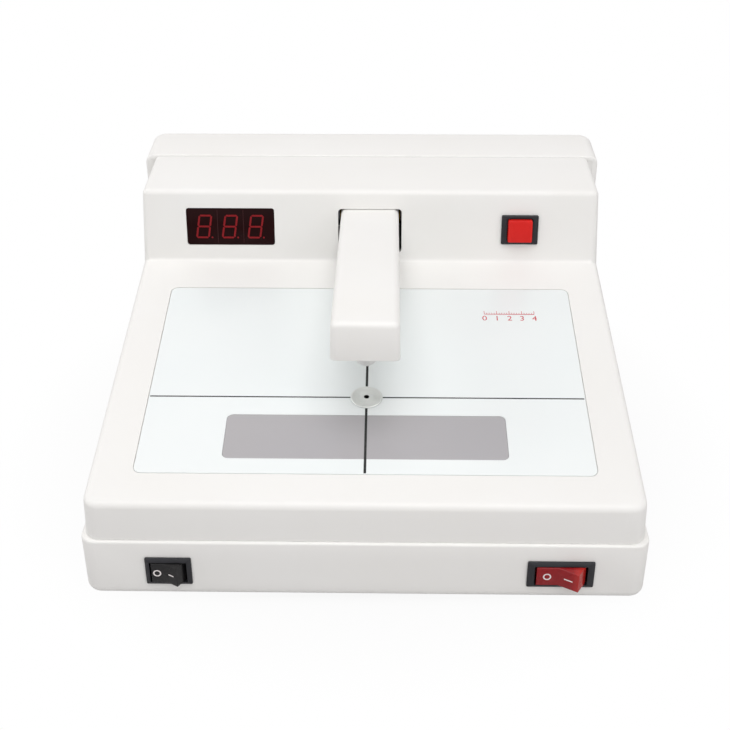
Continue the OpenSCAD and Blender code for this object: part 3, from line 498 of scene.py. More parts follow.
def put(piece, matrix):
    """Moves a piece that was modelled at the origin to its place, and applies it."""
    only(piece)
    piece.matrix_world = matrix
    freeze()
    return piece


def combine(piece, others, operation):
    """Cuts the others out of a piece, or joins them to it, and uses them up."""
    for other in others:
        modifier = piece.modifiers.new(operation.lower(), "BOOLEAN")
        modifier.operation = operation
        modifier.object = other
        modifier.solver = "EXACT"
        only(piece)
        bpy.ops.object.modifier_apply(modifier=modifier.name)
        bpy.data.objects.remove(other)
    return piece


def carve(piece, *cutters):
    return combine(piece, cutters, "DIFFERENCE")


def weld(piece, *others):
    return combine(piece, others, "UNION")


def gather(name, parts):
    """Joins separate solids into one object."""
    only(parts[0])
    for part in parts:
        part.select_set(True)
    bpy.ops.object.join()
    parts[0].name = name
    return parts[0]


def dress(piece, material, body, slot, *nodes, sharp=30.0):
    """Finishes a piece: its shading, material, body and the nodes it stands for. The slot is not
    used.
    """
    only(piece)
    bpy.ops.object.shade_smooth_by_angle(angle=math.radians(sharp))
    piece.data.materials.clear()
    piece.data.materials.append(material)
    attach(piece, body)
    if nodes:
        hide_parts(*nodes)
    return piece


def paint(piece, material, test):
    """Gives the faces that pass the test a second material."""
    piece.data.materials.append(material)
    for face in piece.data.polygons:
        if test(face):
            face.material_index = 1


# ---------------------------------------------------------------- materials


def add_node(tree, kind, values=None, links=None, **settings):
    """Adds a node with its settings, its input values and the outputs that feed it."""
    item = tree.nodes.new("ShaderNode" + kind)
    for key, value in settings.items():
        setattr(item, key, value)
    for key, value in (values or {}).items():
        item.inputs[key].default_value = value
    for key, (source, output) in (links or {}).items():
        tree.links.new(source.outputs[output], item.inputs[key])
    return item


def as_colour(value):
    """A socket's colour from a hex value or from the name of a colour property."""
    return tuple(getattr(finishes(), value, ())) or linear(value)


def blank(name):
    """A material with an empty tree but for its output."""
    material = bpy.data.materials.new(name)
    material.use_nodes = True
    tree = material.node_tree
    tree.nodes.clear()
    return material, tree


def noise(tree, place, size, detail=2.0):
    return add_node(tree, "TexNoise", {"Scale": 1 / size, "Detail": detail},
                    {"Vector": (place, "Object")})


def blend(tree, values, **links):
    """A colour between A and B."""
    return add_node(tree, "Mix", values, links, data_type="RGBA")


def relief(tree, height, depth, strength=1.0):
    """Bump whose height is another node's output."""
    return add_node(tree, "Bump", {"Strength": strength, "Distance": depth},
                    {"Height": height})


def framed(tree, matrix):
    """Places in a frame of their own."""
    place = add_node(tree, "TexCoord")
    return add_node(tree, "Mapping",
                    {"Location": matrix.to_translation(), "Rotation": matrix.to_euler()},
                    {"Vector": (place, "Object")}, vector_type="TEXTURE")


def surface(tree, values, tone, bump, **links):
    """Ends a material's tree with its shader."""
    shader = add_node(tree, "BsdfPrincipled", values,
                      {"Base Color": (tone, "Result"), "Normal": (bump, "Normal"), **links})
    add_node(tree, "OutputMaterial", links={"Surface": (shader, "BSDF")})


def grained(name, colour, second, grain, depth, values, mottle=0.02):
    """A surface whose colour drifts between two tones and whose fine grain stands up as bump.

    Grain and mottle are the real sizes of the pattern; depth is the height of the grain.
    """
    material, tree = blank(name)
    place = add_node(tree, "TexCoord")
    drift = noise(tree, place, mottle, 3.0)
    tone = blend(tree, {"A": as_colour(colour), "B": as_colour(second)}, Factor=(drift, "Fac"))
    bump = relief(tree, (noise(tree, place, grain), "Fac"), depth)
    surface(tree, values, tone, bump)
    return material


# The plain finishes: two tones, then the grain's size, the grain's height and the size of the
# drift between the tones in millimetres, then the shader's values.
PLAIN = {
    # Back-printed polyester overlay: smooth and a little cool, with faint orange peel
    "polyester_laminate": ("overlay", "F1F4F3", 1.6, 0.006, 80, {"Roughness": 0.3, "IOR": 1.57}),
    # Opal acrylic lit by nothing: grey, smooth, with milky depth
    "opal_acrylic": ("window", "AFACAD", 2.4, 0.004, 50,
        {"Roughness": 0.32, "IOR": 1.49, "Coat Weight": 0.25, "Coat Roughness": 0.12}),
    # Polished black nylon of the rocker: dark with clear highlights
    "polished_black_nylon": ("rocker", "201F20", 0.8, 0.003, 4,
        {"Roughness": 0.26, "IOR": 1.53, "Specular IOR Level": 0.28}),
    # Injection-moulded red cap with an eroded satin face
    "red_button_abs": ("button", "D6221C", 0.35, 0.006, 4,
        {"Roughness": 0.4, "IOR": 1.54, "Specular IOR Level": 0.22}),
    # Dark red display filter: nearly black, polished
    "filter_acrylic": ("display", "240607", 3, 0.002, 10,
        {"Roughness": 0.16, "IOR": 1.49, "Specular IOR Level": 0.1}),
    # Unlit red segments seen through the filter
    "unlit_segments": ("segments", "8C2428", 0.5, 0.002, 2,
        {"Roughness": 0.35, "IOR": 1.49, "Specular IOR Level": 0.08}),
    # Dim edges of the digits' cases seen through the filter
    "digit_case_edges": ("2C0D10", "341014", 0.5, 0.002, 2,
        {"Roughness": 0.35, "IOR": 1.49, "Specular IOR Level": 0.2}),
    # Matt black on the aperture's bore and on the ring round the hole: painted shade that keeps
    # the hole dark
    "blackened_bore": ("121212", "1A1A1A", 0.3, 0.01, 1,
        {"Roughness": 0.9, "IOR": 1.5, "Specular IOR Level": 0.1}),
    # Frosted clear-white nozzle: smooth, a little see-through
    "frosted_nozzle": ("FAFAF8", "F4F5F4", 0.6, 0.006, 3,
        {"Roughness": 0.3, "IOR": 1.46, "Transmission Weight": 0.3}),
    # Black rubber of the feet: matt, with a dusty bloom
    "moulded_rubber": ("1E1E1E", "2B2A29", 0.4, 0.03, 3, {"Roughness": 0.8, "IOR": 1.52}),
    # Zinc-plated steel with a faint spangle
    "plated_steel": ("B9BCC0", "A6A9AD", 0.5, 0.006, 3, {"Roughness": 0.34, "Metallic": 1.0}),
    # Green solder mask over glass cloth
    "circuit_laminate": ("1C5A38", "23683F", 0.7, 0.02, 6, {"Roughness": 0.35, "IOR": 1.5}),
    # Clear glass of the lamps and the lens, with a trace of haze
    "lamp_glass": ("F2F4F4", "E6EAEC", 4, 0.004, 10,
        {"Roughness": 0.08, "IOR": 1.5, "Transmission Weight": 0.7}),
    # Oil-filled sintered bronze: open grain, dull yellow
    "sintered_bronze": ("B08D52", "9A7840", 0.25, 0.02, 1, {"Roughness": 0.5, "Metallic": 1.0}),
    # Varnished transformer sheets
    "stacked_iron": ("6B625A", "574E47", 0.5, 0.05, 4, {"Roughness": 0.55, "Metallic": 0.6}),
}


def plain(name):
    """The material of one row of the plain finishes."""
    colour, second, grain, depth, mottle, values = PLAIN[name]
    return grained(name, colour, second, grain * MM, depth * MM, values, mottle * MM)


def moulded_abs(name, colour):
    """White ABS from a spark-eroded mould: a satin skin with a fine even grain."""
    # The real grain of about 0.1 mm is too fine to show, so it is drawn at 0.45 mm
    return grained(name, colour, "ECEBE7", 0.45 * MM, 0.012 * MM,
                   {"Roughness": 0.46, "IOR": 1.54}, mottle=0.06)


def moulded_black(name, colour):
    """Black moulded plastic with a fine matt grain that greys its edges."""
    return grained(name, colour, "28282D", 0.3 * MM, 0.012 * MM,
                   {"Roughness": 0.42, "IOR": 1.54, "Specular IOR Level": 0.3}, mottle=0.004)


def red_polycarbonate():
    """See-through red polycarbonate, prismed inside, with a painted glow: its colour turns lighter
    towards one end, where light leaves it.
    """
    material, tree = blank("red_polycarbonate")
    node = "power_switch_housing"
    place, half = framed(tree, rocker_pose(node)), rocker_half(node)
    prisms = add_node(tree, "TexVoronoi", {"Scale": 1 / (0.45 * MM)},
                      {"Vector": (place, "Vector")})
    tone = blend(tree, {"A": as_colour("lit_rocker"), "B": as_colour("7C1016")},
                 Factor=(prisms, "Distance"))
    # Painted glow: the red turns lighter towards the rocker's end, standing in for light that
    # leaves it there
    parts = add_node(tree, "SeparateXYZ", links={0: (place, "Vector")})
    towards = add_node(tree, "MapRange",
                       {"From Min": 0.62 * half, "From Max": half, "To Max": 0.45},
                       {"Value": (parts, "X")})
    painted_glow = blend(tree, {"B": as_colour("D63A30")}, Factor=(towards, "Result"),
                   A=(tone, "Result"))
    surface(tree, {"Roughness": 0.2, "IOR": 1.58, "Transmission Weight": 0.12,
                   "Specular IOR Level": 0.18, "Coat Weight": 0.12, "Coat Roughness": 0.08},
            painted_glow, relief(tree, (prisms, "Distance"), 0.02 * MM, 0.6))
    return material


def screen_ink(name, colour, second):
    """Screen-printed ink: flat colour with slightly uneven cover."""
    return grained(name, colour, second, 0.3 * MM, 0.004 * MM,
                   {"Roughness": 0.5, "IOR": 1.5, "Specular IOR Level": 0.25}, mottle=0.0015)


def turned_aluminium():
    """Faced aluminium: fine rings round the aperture that spread the light into a fan."""
    material, tree = blank("turned_aluminium")
    place = framed(tree, on_deck(0, stage_sizes().aperture_at))
    rings = add_node(tree, "TexWave",
                     {"Scale": 1 / (3.0 * MM), "Distortion": 0.6, "Detail": 3.0},
                     {"Vector": (place, "Vector")}, wave_type="RINGS", rings_direction="Z")
    tone = blend(tree, {"A": as_colour("DADBD9"), "B": as_colour("EFF0EE")},
                 Factor=(rings, "Fac"))
    round_it = add_node(tree, "Tangent", direction_type="RADIAL", axis="Z")
    surface(tree, {"Metallic": 1.0, "Roughness": 0.38, "Anisotropic": 0.75}, tone,
            relief(tree, (rings, "Fac"), 0.01 * MM, 0.5), Tangent=(round_it, "Tangent"))
    return material


# ---------------------------------------------------------------- shells


def seam_z():
    """Top of the base shell's tray."""
    return case().seam_up


def seam_y():
    """Front of the base shell's rear part."""
    return high("top_shell").y + case().seam_gap


def dissolve(piece):
    """Merges the faces that lie in one plane."""
    pick(piece, "FACE", lambda f: True)
    bpy.ops.mesh.dissolve_limited(angle_limit=math.radians(0.5))
    only(piece)


def top_block(name, inset, bottom, back):
    """The top shell's form: a sloping deck in front of a leaning console."""
    sizes = case()
    slope, lean = math.tan(sizes.deck_tilt), math.tan(sizes.console_lean)
    down = inset / math.cos(sizes.deck_tilt)
    corner, front = foot(), wall_y() + inset
    knee_y = corner.y + inset * (1 / math.cos(sizes.console_lean)
                                 - lean / math.cos(sizes.deck_tilt)) / (1 - slope * lean)
    knee_z = corner.z + (knee_y - corner.y) * slope - down
    edge_z = sizes.edge_up + inset * slope - down
    top = high("top_shell").z - inset
    head_y = corner.y + (top - corner.z) * lean + inset / math.cos(sizes.console_lean)
    half = high("top_shell").x - inset / math.cos(sizes.side_draft)
    piece = block(name, (-half, front, bottom), (half, knee_y, knee_z))
    shift(piece, lambda p: same(p.y, front) and same(p.z, knee_z), (0, 0, edge_z - knee_z))
    extrude(piece, lambda m, n: n.y > 0.9, (0, back - knee_y, 0))
    extrude(piece, lambda m, n: m.y > knee_y + NEAR and n.z > 0.9, (0, 0, top - knee_z))
    shift(piece, lambda p: same(p.y, knee_y) and same(p.z, top), (0, head_y - knee_y, 0))
    for level in (bottom, edge_z, knee_z, top):
        width = half - (level - seam_z()) * math.tan(sizes.side_draft)
        narrow(piece, lambda p, level=level: same(p.z, level), width / half)
    dissolve(piece)
    return piece


def base_block(name, inset, beyond):
    """The base shell's form: a tray with a taller rear part."""
    base, top = high("base_shell"), high("base_shell").z - inset
    half, front, back = base.x - inset, front_y() + inset, base.y - inset
    under, rim, step = low("base_shell").z + inset, seam_z() + beyond, seam_y() - beyond
    piece = block(name, (-half, step, under), (half, back, rim))
    extrude(piece, lambda m, n: n.y < -0.9, (0, front - step, 0))
    extrude(piece, lambda m, n: m.y > step + NEAR and n.z > 0.9, (0, 0, top - rim))
    dissolve(piece)
    return piece


def stage_cutters():
    """Cutters for the recesses and openings in the deck."""
    stage, ledge, through = stage_sizes(), 0.003, case().wall + 0.004
    middle = stage.overlay_start + stage.overlay_length / 2
    window = stage.window_start + stage.window_length / 2
    return [
        put(slab("recess", stage.overlay_width + 2 * stage.overlay_gap,
                 stage.overlay_length + 2 * stage.overlay_gap, -stage.overlay_thick, 0.004,
                 stage.overlay_corner + stage.overlay_gap), on_deck(0, middle)),
        put(slab("pocket", stage.window_width, stage.window_length,
                 -stage.window_thick - 0.1 * MM, 0.001, stage.window_corner),
            on_deck(0, window)),
        put(slab("light", stage.window_width - 2 * ledge, stage.window_length - 2 * ledge,
                 -through, 0.001, stage.window_corner), on_deck(0, window)),
        put(drum("neck", NECK + 0.4 * MM, -through, 0.001), on_deck(0, stage.aperture_at)),
    ]


def console_cutters():
    """Cutters for the openings in the console's face."""
    desk, through = console(), case().wall + 0.004
    return [
        put(slab("slot", desk.slot_width, desk.slot_high - desk.slot_low, -through, 0.004,
                 2 * MM), on_face(0, (desk.slot_low + desk.slot_high) / 2)),
        put(slab("display", desk.display_width + 0.2 * MM, desk.display_tall + 0.2 * MM,
                 -desk.display_thick - 0.1 * MM, 0.004, 1.5 * MM),
            on_face(-desk.display_x, desk.display_up)),
        put(slab("behind", desk.display_width - 2 * MM, desk.display_tall - 2 * MM,
                 -through, 0.001, 1 * MM), on_face(-desk.display_x, desk.display_up)),
        put(slab("button", desk.button_width - 2.2 * MM, desk.button_tall - 1.2 * MM,
                 -through, 0.004, 0.5 * MM), on_face(desk.button_x, desk.button_up)),
    ]


class DENSITOMETER_OT_top_shell(Operator):
    """Models the top shell: deck, console, lip and openings"""

    bl_idname = "densitometer.top_shell"
    bl_label = "Top shell"

    def execute(self, context):
        sizes = case()
        front, back, bottom = wall_y(), high("top_shell").y, seam_z() + sizes.seam_shadow
        piece = top_block("TopShell", 0.0, bottom, back)
        round_edges(piece, corner_edges(front), sizes.front_corner, 8)
        round_edges(piece, lambda a, b: min(a.z, b.z) > bottom + NEAR
                    and not both(a, b, y=back) and not at_knee(a, b), sizes.edge, 5)
        round_edges(piece, at_knee, sizes.knee, 3)
        carve(piece, top_block("inside", sizes.wall, bottom - 6 * MM, back + 2 * MM))
        inner = sizes.wall + 0.2 * MM
        half, lip = high("base_shell").x - inner, 1.6 * MM
        rail = block("lip", (-half, front_y() + inner, seam_z() - 3 * MM),
                     (half, back, seam_z() + 1.2 * MM))
        bore = block("lip_inside", (-half + lip, front_y() + inner + lip, 0),
                     (half - lip, back + 5 * MM, 0.1))
        for part, radius in ((rail, sizes.front_corner - inner),
                             (bore, sizes.front_corner - inner - lip)):
            round_edges(part, lambda a, b: upright(a, b) and a.y < 0, radius, 6)
        carve(rail, bore)
        weld(piece, rail)
        carve(piece, *stage_cutters(), *console_cutters())
        dress(piece, moulded_abs("moulded_white_abs", "shell"), "case", "case_white",
              "top_shell")
        return {"FINISHED"}


def vent_cutters():
    """Cutters for the louvres: 24 mm tall in the rear wall, 30 mm long in the floor."""
    pitch, count, wide, tall, long = 7 * MM, 9, 2.5 * MM, 24 * MM, 30 * MM
    first = middle_of("fuse_holder").x - 58 * MM
    under, thick, mid = low("base_shell").z, case().wall, middle_of("mains_inlet").z
    # Near and far ends, bottom and top of the three rows
    rows = [(rear_y() - thick - MM, rear_y() + MM, mid - tall / 2, mid + tall / 2)]
    rows += [(near, near + long, under - MM, under + thick + MM)
             for near in (rear_y() - 66 * MM, front_y() + 56 * MM)]
    cutters = []
    for near, far, bottom, top in rows:
        cutter = block("louvre", (first, near, bottom), (first + wide, far, top))
        row = cutter.modifiers.new("row", "ARRAY")
        row.count = count
        row.use_relative_offset = False
        row.use_constant_offset = True
        row.constant_offset_displace = (-pitch, 0, 0)
        only(cutter)
        bpy.ops.object.modifier_apply(modifier=row.name)
        cutters.append(cutter)
    return cutters


def post_places():
    """X and Y of the four posts that the case screws go up."""
    return corners_of("case_screws", CASE_SCREW)


def foot_places():
    return corners_of("rubber_feet", case().foot_width / 2)


def at_inlet(side=0.0, out=0.0):
    """Places on the rear wall, from the middle of the mains inlet."""
    middle = middle_of("mains_inlet")
    return on_rear(middle.x + side, middle.z, out)


def at_fuse():
    return on_rear(middle_of("fuse_holder").x, middle_of("mains_inlet").z)


class DENSITOMETER_OT_base_shell(Operator):
    """Models the base shell: tray, rear part, posts and openings"""

    bl_idname = "densitometer.base_shell"
    bl_label = "Base shell"

    def execute(self, context):
        sizes, switch = case(), rockers()
        piece = base_block("BaseShell", 0.0, 0.0)
        under, top = low("base_shell").z, high("base_shell").z
        front, back, rim, step = front_y(), rear_y(), seam_z(), seam_y()
        deep = -sizes.wall - MM
        round_edges(piece, corner_edges(front), sizes.front_corner, 8)
        round_edges(piece, corner_edges(back), sizes.rear_corner, 8)
        round_edges(piece, lambda a, b: both(a, b, z=under), sizes.lower_edge, 5)
        round_edges(piece, lambda a, b: both(a, b, z=top) and not both(a, b, y=step),
                    sizes.lower_edge, 5)
        round_edges(piece, lambda a, b: both(a, b, z=rim) and min(a.y, b.y) < step - NEAR
                    or both(a, b, y=step) and max(a.z, b.z) > rim + NEAR, sizes.rim, 3)
        inside = base_block("inside", sizes.wall, 2 * MM)
        round_edges(inside, lambda a, b: upright(a, b) and max(a.y, b.y) < 0,
                    sizes.front_corner - sizes.wall, 6)
        carve(piece, inside)
        half = high("base_shell").x - 2 * MM
        collar = block("collar", (-half, step + 0.2 * MM, rim - MM),
                       (half, step + 2.5 * MM, top - 2 * MM))
        carve(collar, top_block("bore", sizes.wall, rim - 5 * MM, step + 6 * MM))
        weld(piece, collar)
        weld(piece, *(put(drum("post", 9 * MM, under + MM, 22 * MM + under, 24), moved(x, y))
                      for x, y in post_places()))
        cutters = vent_cutters()
        for x, y in post_places():
            for width, bottom, end, sides in ((8 * MM, -MM, 10 * MM, 24),
                                              (CASE_SCREW + 0.2 * MM, 9 * MM, 23 * MM, 16)):
                cutters.append(put(drum("screw_hole", width, under + bottom, under + end, sides),
                                   moved(x, y)))
        for x, y in foot_places():
            cutters.append(put(drum("seat", sizes.foot_width + 0.2 * MM, under - MM,
                                    under + MM, 48), moved(x, y)))
        for node in ("viewer_switch_housing", "power_switch_housing"):
            middle, size = middle_of(node), high(node) - low(node)
            less = 2 * switch.body_inset - 0.2 * MM
            cutters.append(put(slab("switch_hole", size.x - less, size.z - less, deep, MM,
                                    0.5 * MM), on_front(middle.x, middle.z)))
        wide, tall = INLET_BODY
        cutters.append(put(slab("inlet_hole", wide + 0.2 * MM, tall + 0.2 * MM, deep, MM,
                                1.5 * MM), at_inlet()))
        cutters.append(put(drum("fuse_hole", 12.2 * MM, deep, MM, 32), at_fuse()))
        for side in INLET_SCREWS:
            cutters.append(put(drum("inlet_screw_hole", 3.2 * MM, deep, MM, 16), at_inlet(side)))
        carve(piece, *cutters)
        dress(piece, moulded_abs("moulded_white_abs", "shell"), "case", "case_white",
              "base_shell")
        return {"FINISHED"}


# ---------------------------------------------------------------- stage and console


class DENSITOMETER_OT_stage_plate(Operator):
    """Finishes the overlay and models the window, the disc and the printed lines"""

    bl_idname = "densitometer.stage_plate"
    bl_label = "Measuring stage"

    def execute(self, context):
        stage = stage_sizes()
        middle = stage.overlay_start + stage.overlay_length / 2
        window_at = stage.window_start + stage.window_length / 2
        overlay = slab("StageOverlay", stage.overlay_width, stage.overlay_length,
                       -stage.overlay_thick, 0, stage.overlay_corner, 0.12 * MM)
        overlay = put(overlay, on_deck(0, middle))
        carve(overlay,
              put(slab("window_cut", stage.window_width, stage.window_length, -0.003, 0.003,
                       stage.window_corner), on_deck(0, window_at)),
              put(drum("disc_cut", stage.disc_width + 0.2 * MM, -0.003, 0.003, 64),
                  on_deck(0, stage.aperture_at)))
        dress(overlay, plain("polyester_laminate"), "case", "overlay", "stage_overlay")

        fit = 0.2 * MM
        window = slab("ViewerWindow", stage.window_width - fit, stage.window_length - fit,
                      -stage.window_thick - 0.1 * MM, -0.02 * MM, stage.window_corner,
                      0.15 * MM)
        dress(put(window, on_deck(0, window_at)), plain("opal_acrylic"), "case", "opal",
              "viewer_window")

        rim, neck, hole, rise = stage.disc_width / 2, NECK / 2, stage.hole / 2, stage.disc_rise
        disc = turned("ApertureDisc", [
            (hole, -3 * MM), (neck, -3 * MM), (neck, -stage.overlay_thick),
            (rim, -stage.overlay_thick), (rim, rise - 0.2 * MM), (rim - 0.2 * MM, rise),
            (rim - 1.1 * MM, rise), (rim - 1.3 * MM, rise - 0.08 * MM),
            (2.4 * MM, rise - 0.1 * MM), (2.2 * MM, rise - 0.02 * MM),
            (hole + 0.4 * MM, rise - 0.02 * MM), (hole, rise - 0.3 * MM)], 96)
        place = on_deck(0, stage.aperture_at)
        dress(put(disc, place), turned_aluminium(), "case", "disc_metal", "aperture_disc")
        back = place.inverted()
        # Painted shade: the bore and the ring round the hole take the matt black, so the aperture
        # shows dark
        paint(disc, plain("blackened_bore"),
              lambda p: (back @ p.center).xy.length < hole + 0.3 * MM)

        half, gap = stage.overlay_width / 2 - 0.5 * MM, rim + 0.2 * MM
        thin, wide, at = stage.cross_line / 2, stage.long_line / 2, stage.aperture_at
        start, end = stage.window_start, stage.window_start + stage.window_length
        on_plate, on_window = (-0.01 * MM, INK), (-0.03 * MM, 0)
        # Each line's left, near, right and far ends, and its lower and upper faces
        rows = ((-half, at - thin, -gap, at + thin, on_plate),
                (gap, at - thin, half, at + thin, on_plate),
                (-wide, stage.overlay_start + 0.5 * MM, wide, start, on_plate),
                (-wide, start, wide, end, on_window),
                (-wide, end, wide, at - gap, on_plate),
                (-wide, at + gap, wide,
                 stage.overlay_start + stage.overlay_length - 0.3 * MM, on_plate))
        lines = [block("line", (left, near, faces[0]), (right, far, faces[1]))
                 for left, near, right, far, faces in rows]
        dress(put(gather("StageLines", lines), on_deck()),
              screen_ink("black_screen_ink", "black_ink", "3A3A3A"), "case", "overlay")
        dress(put(density_scale(), on_deck(*SCALE_AT)),
              screen_ink("red_screen_ink", "red_ink", "B81C30"), "case", "overlay")
        return {"FINISHED"}


def density_scale():
    """A plain ruled density scale from 0 to 4, about its middle."""
    length, thick, step = 26 * MM, INK, 6.5 * MM
    parts = [block("rule", (-length / 2, -0.25 * MM, 0), (length / 2, 0.25 * MM, thick))]
    for i in range(21):
        x = -length / 2 + i * step / 5
        tall = 2.6 * MM if i % 5 == 0 else 1.3 * MM
        wide = 0.26 * MM if i % 5 == 0 else 0.16 * MM
        parts.append(block("tick", (x - wide / 2, 0, 0), (x + wide / 2, tall, thick)))
    for i in range(5):
        only(None)
        bpy.ops.object.text_add(location=(-length / 2 + i * step, -5.2 * MM, 0))
        number = bpy.context.object
        number.data.body = str(i)
        number.data.size = 5.4 * MM
        number.data.align_x = "CENTER"
        number.data.extrude = thick / 2
        number.data.resolution_u = 4
        bpy.ops.object.convert(target="MESH")
        freeze()
        parts.append(bpy.context.object)
    return gather("DensityScale", parts)


def digit_eight(x):
    """Seven segments and a point, slanted, about the digit's middle."""
    desk = console()
    wide, tall, stroke, lean = desk.digit_width, desk.digit_tall, desk.stroke, desk.digit_slant
    slant = math.tan(lean)
    gap, thick = 0.25 * MM, 0.02 * MM
    side = tall / 2 - stroke / 2
    bars = [(0, y, 0, wide - stroke - gap) for y in (-side, 0, side)]
    bars += [(sx * (wide - stroke) / 2, sy * side / 2, 1, side - gap)
             for sx in (-1, 1) for sy in (-1, 1)]
    parts = []
    for at_x, at_y, upright_bar, length in bars:
        bar = block("segment", (-length / 2, -stroke / 2, -thick),
                    (length / 2, stroke / 2, thick))
        round_edges(bar, upright, stroke * 0.46, 1)
        turn = math.pi / 2 - lean if upright_bar else 0
        place = moved(x + at_x + at_y * slant, at_y)
        parts.append(put(bar, place @ turn_z(turn)))
    point = drum("point", desk.point, -thick, thick, 20)
    parts.append(put(point, moved(x + wide / 2 + 0.5 * MM, -side)))
    return parts


class DENSITOMETER_OT_display(Operator):
    """Models the display's filter window and the segments behind it"""

    bl_idname = "densitometer.display"
    bl_label = "Display"

    def execute(self, context):
        desk = console()
        pane = slab("DisplayWindow", desk.display_width, desk.display_tall,
                    -desk.display_thick - 0.1 * MM, 0, 1.5 * MM, 0.25 * MM)
        place = on_face(-desk.display_x, desk.display_up)
        dress(put(pane, place), plain("filter_acrylic"), "case", "display_filter",
              "display_window")
        # The row of digits and points is centred, so the digits stand a little to the left
        parts = [part for i in (-1, 0, 1)
                 for part in digit_eight(i * desk.digit_pitch - 0.35 * MM)]
        digits = put(gather("DisplaySegments", parts), place)
        dress(digits, plain("unlit_segments"), "case", "digit_red")
        thin, tall, deep = 0.2 * MM, desk.display_tall / 2 - MM, 0.01 * MM
        edges = [block("edge", (x - thin, -tall, -deep), (x + thin, tall, deep))
                 for x in (-desk.digit_pitch / 2, desk.digit_pitch / 2)]
        dress(put(gather("DigitEdges", edges), place), plain("digit_case_edges"), "case",
              "digit_red")
        return {"FINISHED"}


class DENSITOMETER_OT_button(Operator):
    """Models the push button: its bezel, body and red cap"""

    bl_idname = "densitometer.button"
    bl_label = "Push button"

    def execute(self, context):
        desk = console()
        wide, tall, rise, gap = desk.button_width, desk.button_tall, desk.button_rise, 0.3 * MM
        place = on_face(desk.button_x, desk.button_up)
        bezel = slab("ButtonBezel", wide, tall, 0, rise, 0.7 * MM, 0.4 * MM)
        body = slab("body", wide - 2.4 * MM, tall - 1.4 * MM, -20 * MM, 0.4 * MM, 0.4 * MM)
        weld(bezel, body)
        mouth = slab("mouth", desk.cap_width + 2 * gap, desk.cap_tall + 2 * gap, -4.01 * MM,
                     rise + MM, 0.8 * MM)
        well = slab("well", desk.cap_width + 2 * gap + 1.4 * MM,
                    desk.cap_tall + 2 * gap + 1.4 * MM, -9.8 * MM, -4 * MM, 0.6 * MM)
        bore = drum("bore", SPRING_BORE, -18.5 * MM, -9 * MM, 32)
        flare = slab("flare", desk.cap_width + 2 * gap + 1.2 * MM,
                     desk.cap_tall + 2 * gap + 1.2 * MM, rise - 0.4 * MM, rise + MM, 1.0 * MM)
        narrow(flare, lambda p: p.z < rise, 0.95, 0.95)
        carve(bezel, mouth, well, bore, flare)
        dress(put(bezel, place), moulded_black("moulded_black_abs", "bezel"), "case",
              "dark_plastic", "button_housing")

        top = rise + desk.cap_rise
        cap = slab("ButtonCap", desk.cap_width, desk.cap_tall, -7 * MM, top, 0.6 * MM,
                   0.35 * MM)
        flange = slab("flange", desk.cap_width + 1.4 * MM, desk.cap_tall + 1.4 * MM, -7 * MM,
                      -4.3 * MM, 0.6 * MM)
        weld(cap, flange)
        carve(cap, drum("spring_bore", SPRING_BORE, -7.01 * MM, -2 * MM, 32))
        dress(put(cap, place), plain("red_button_abs"), "zero_button", "button_red", "button_cap",
              sharp=40)
        return {"FINISHED"}


# ---------------------------------------------------------------- rockers


def switch_size(node):
    """Width and height of a switch's bezel, and the rim at the ends of its opening."""
    size = high(node) - low(node)
    rim = rockers().viewer_rim if node.startswith("viewer") else rockers().power_rim
    return size.x, size.z, rim


def rocker_base(node):
    """Half the width of a rocker at its pivot."""
    wide, _, rim = switch_size(node)
    return wide / 2 - rim - rockers().clearance


def rocker_half(node):
    """Half the width of a rocker's face, ridge to ridge."""
    sizes = rockers()
    lean = math.tan(sizes.lean)
    return (rocker_base(node) - sizes.middle * lean) / (1 + lean * math.tan(sizes.tilt))


def rocker_pose(node):
    """A rocker's own frame: at its pivot, tipped to the left."""
    middle = middle_of(node)
    return on_front(middle.x, middle.z, -rockers().pivot_deep) @ turn_y(-rockers().tilt)


def switch_body(name, node):
    """A rocker switch's sloping bezel and its body, about its middle in the wall."""
    sizes = rockers()
    wide, tall, rim = switch_size(node)
    rise, slope, flat = sizes.bezel_rise, sizes.bezel_slope, 0.35 * MM
    piece = slab(name, wide, tall, 0, rise - slope, 0.7 * MM)
    extrude(piece, lambda m, n: n.z > 0.9, (0, 0, slope))
    narrow(piece, lambda p: same(p.z, rise), 1 - 2 * (rim - flat) / wide,
           1 - 2 * (sizes.bezel_rim - flat) / tall)
    round_edges(piece, lambda a, b: both(a, b, z=rise - slope), 0.2 * MM, 2)
    inset = 2 * sizes.body_inset
    weld(piece, slab("body", wide - inset, tall - inset, -sizes.body_depth, 0.4 * MM, 0.4 * MM))
    weld(piece, *(block("tag", (x - 0.4 * MM, -3 * MM, -sizes.body_depth - 7 * MM),
                        (x + 0.4 * MM, 3 * MM, -sizes.body_depth + MM))
                  for x in (-wide / 4, 0, wide / 4)))
    deep = (-sizes.pivot_deep - (rocker_base(node) - 1.5 * MM) * math.sin(sizes.tilt)
            - sizes.under * math.cos(sizes.tilt) - 2 * sizes.clearance)
    opening = slab("opening", wide - 2 * rim, tall - 2 * sizes.bezel_rim, deep, rise + 5 * MM, 0)
    axle = put(drum("axle", 3.1 * MM, -tall / 2 + inset / 2 + 0.1 * MM,
                    tall / 2 - inset / 2 - 0.1 * MM, 24),
               moved(0, 0, -sizes.pivot_deep) @ turn_x(math.pi / 2))
    carve(piece, opening, axle)
    return piece


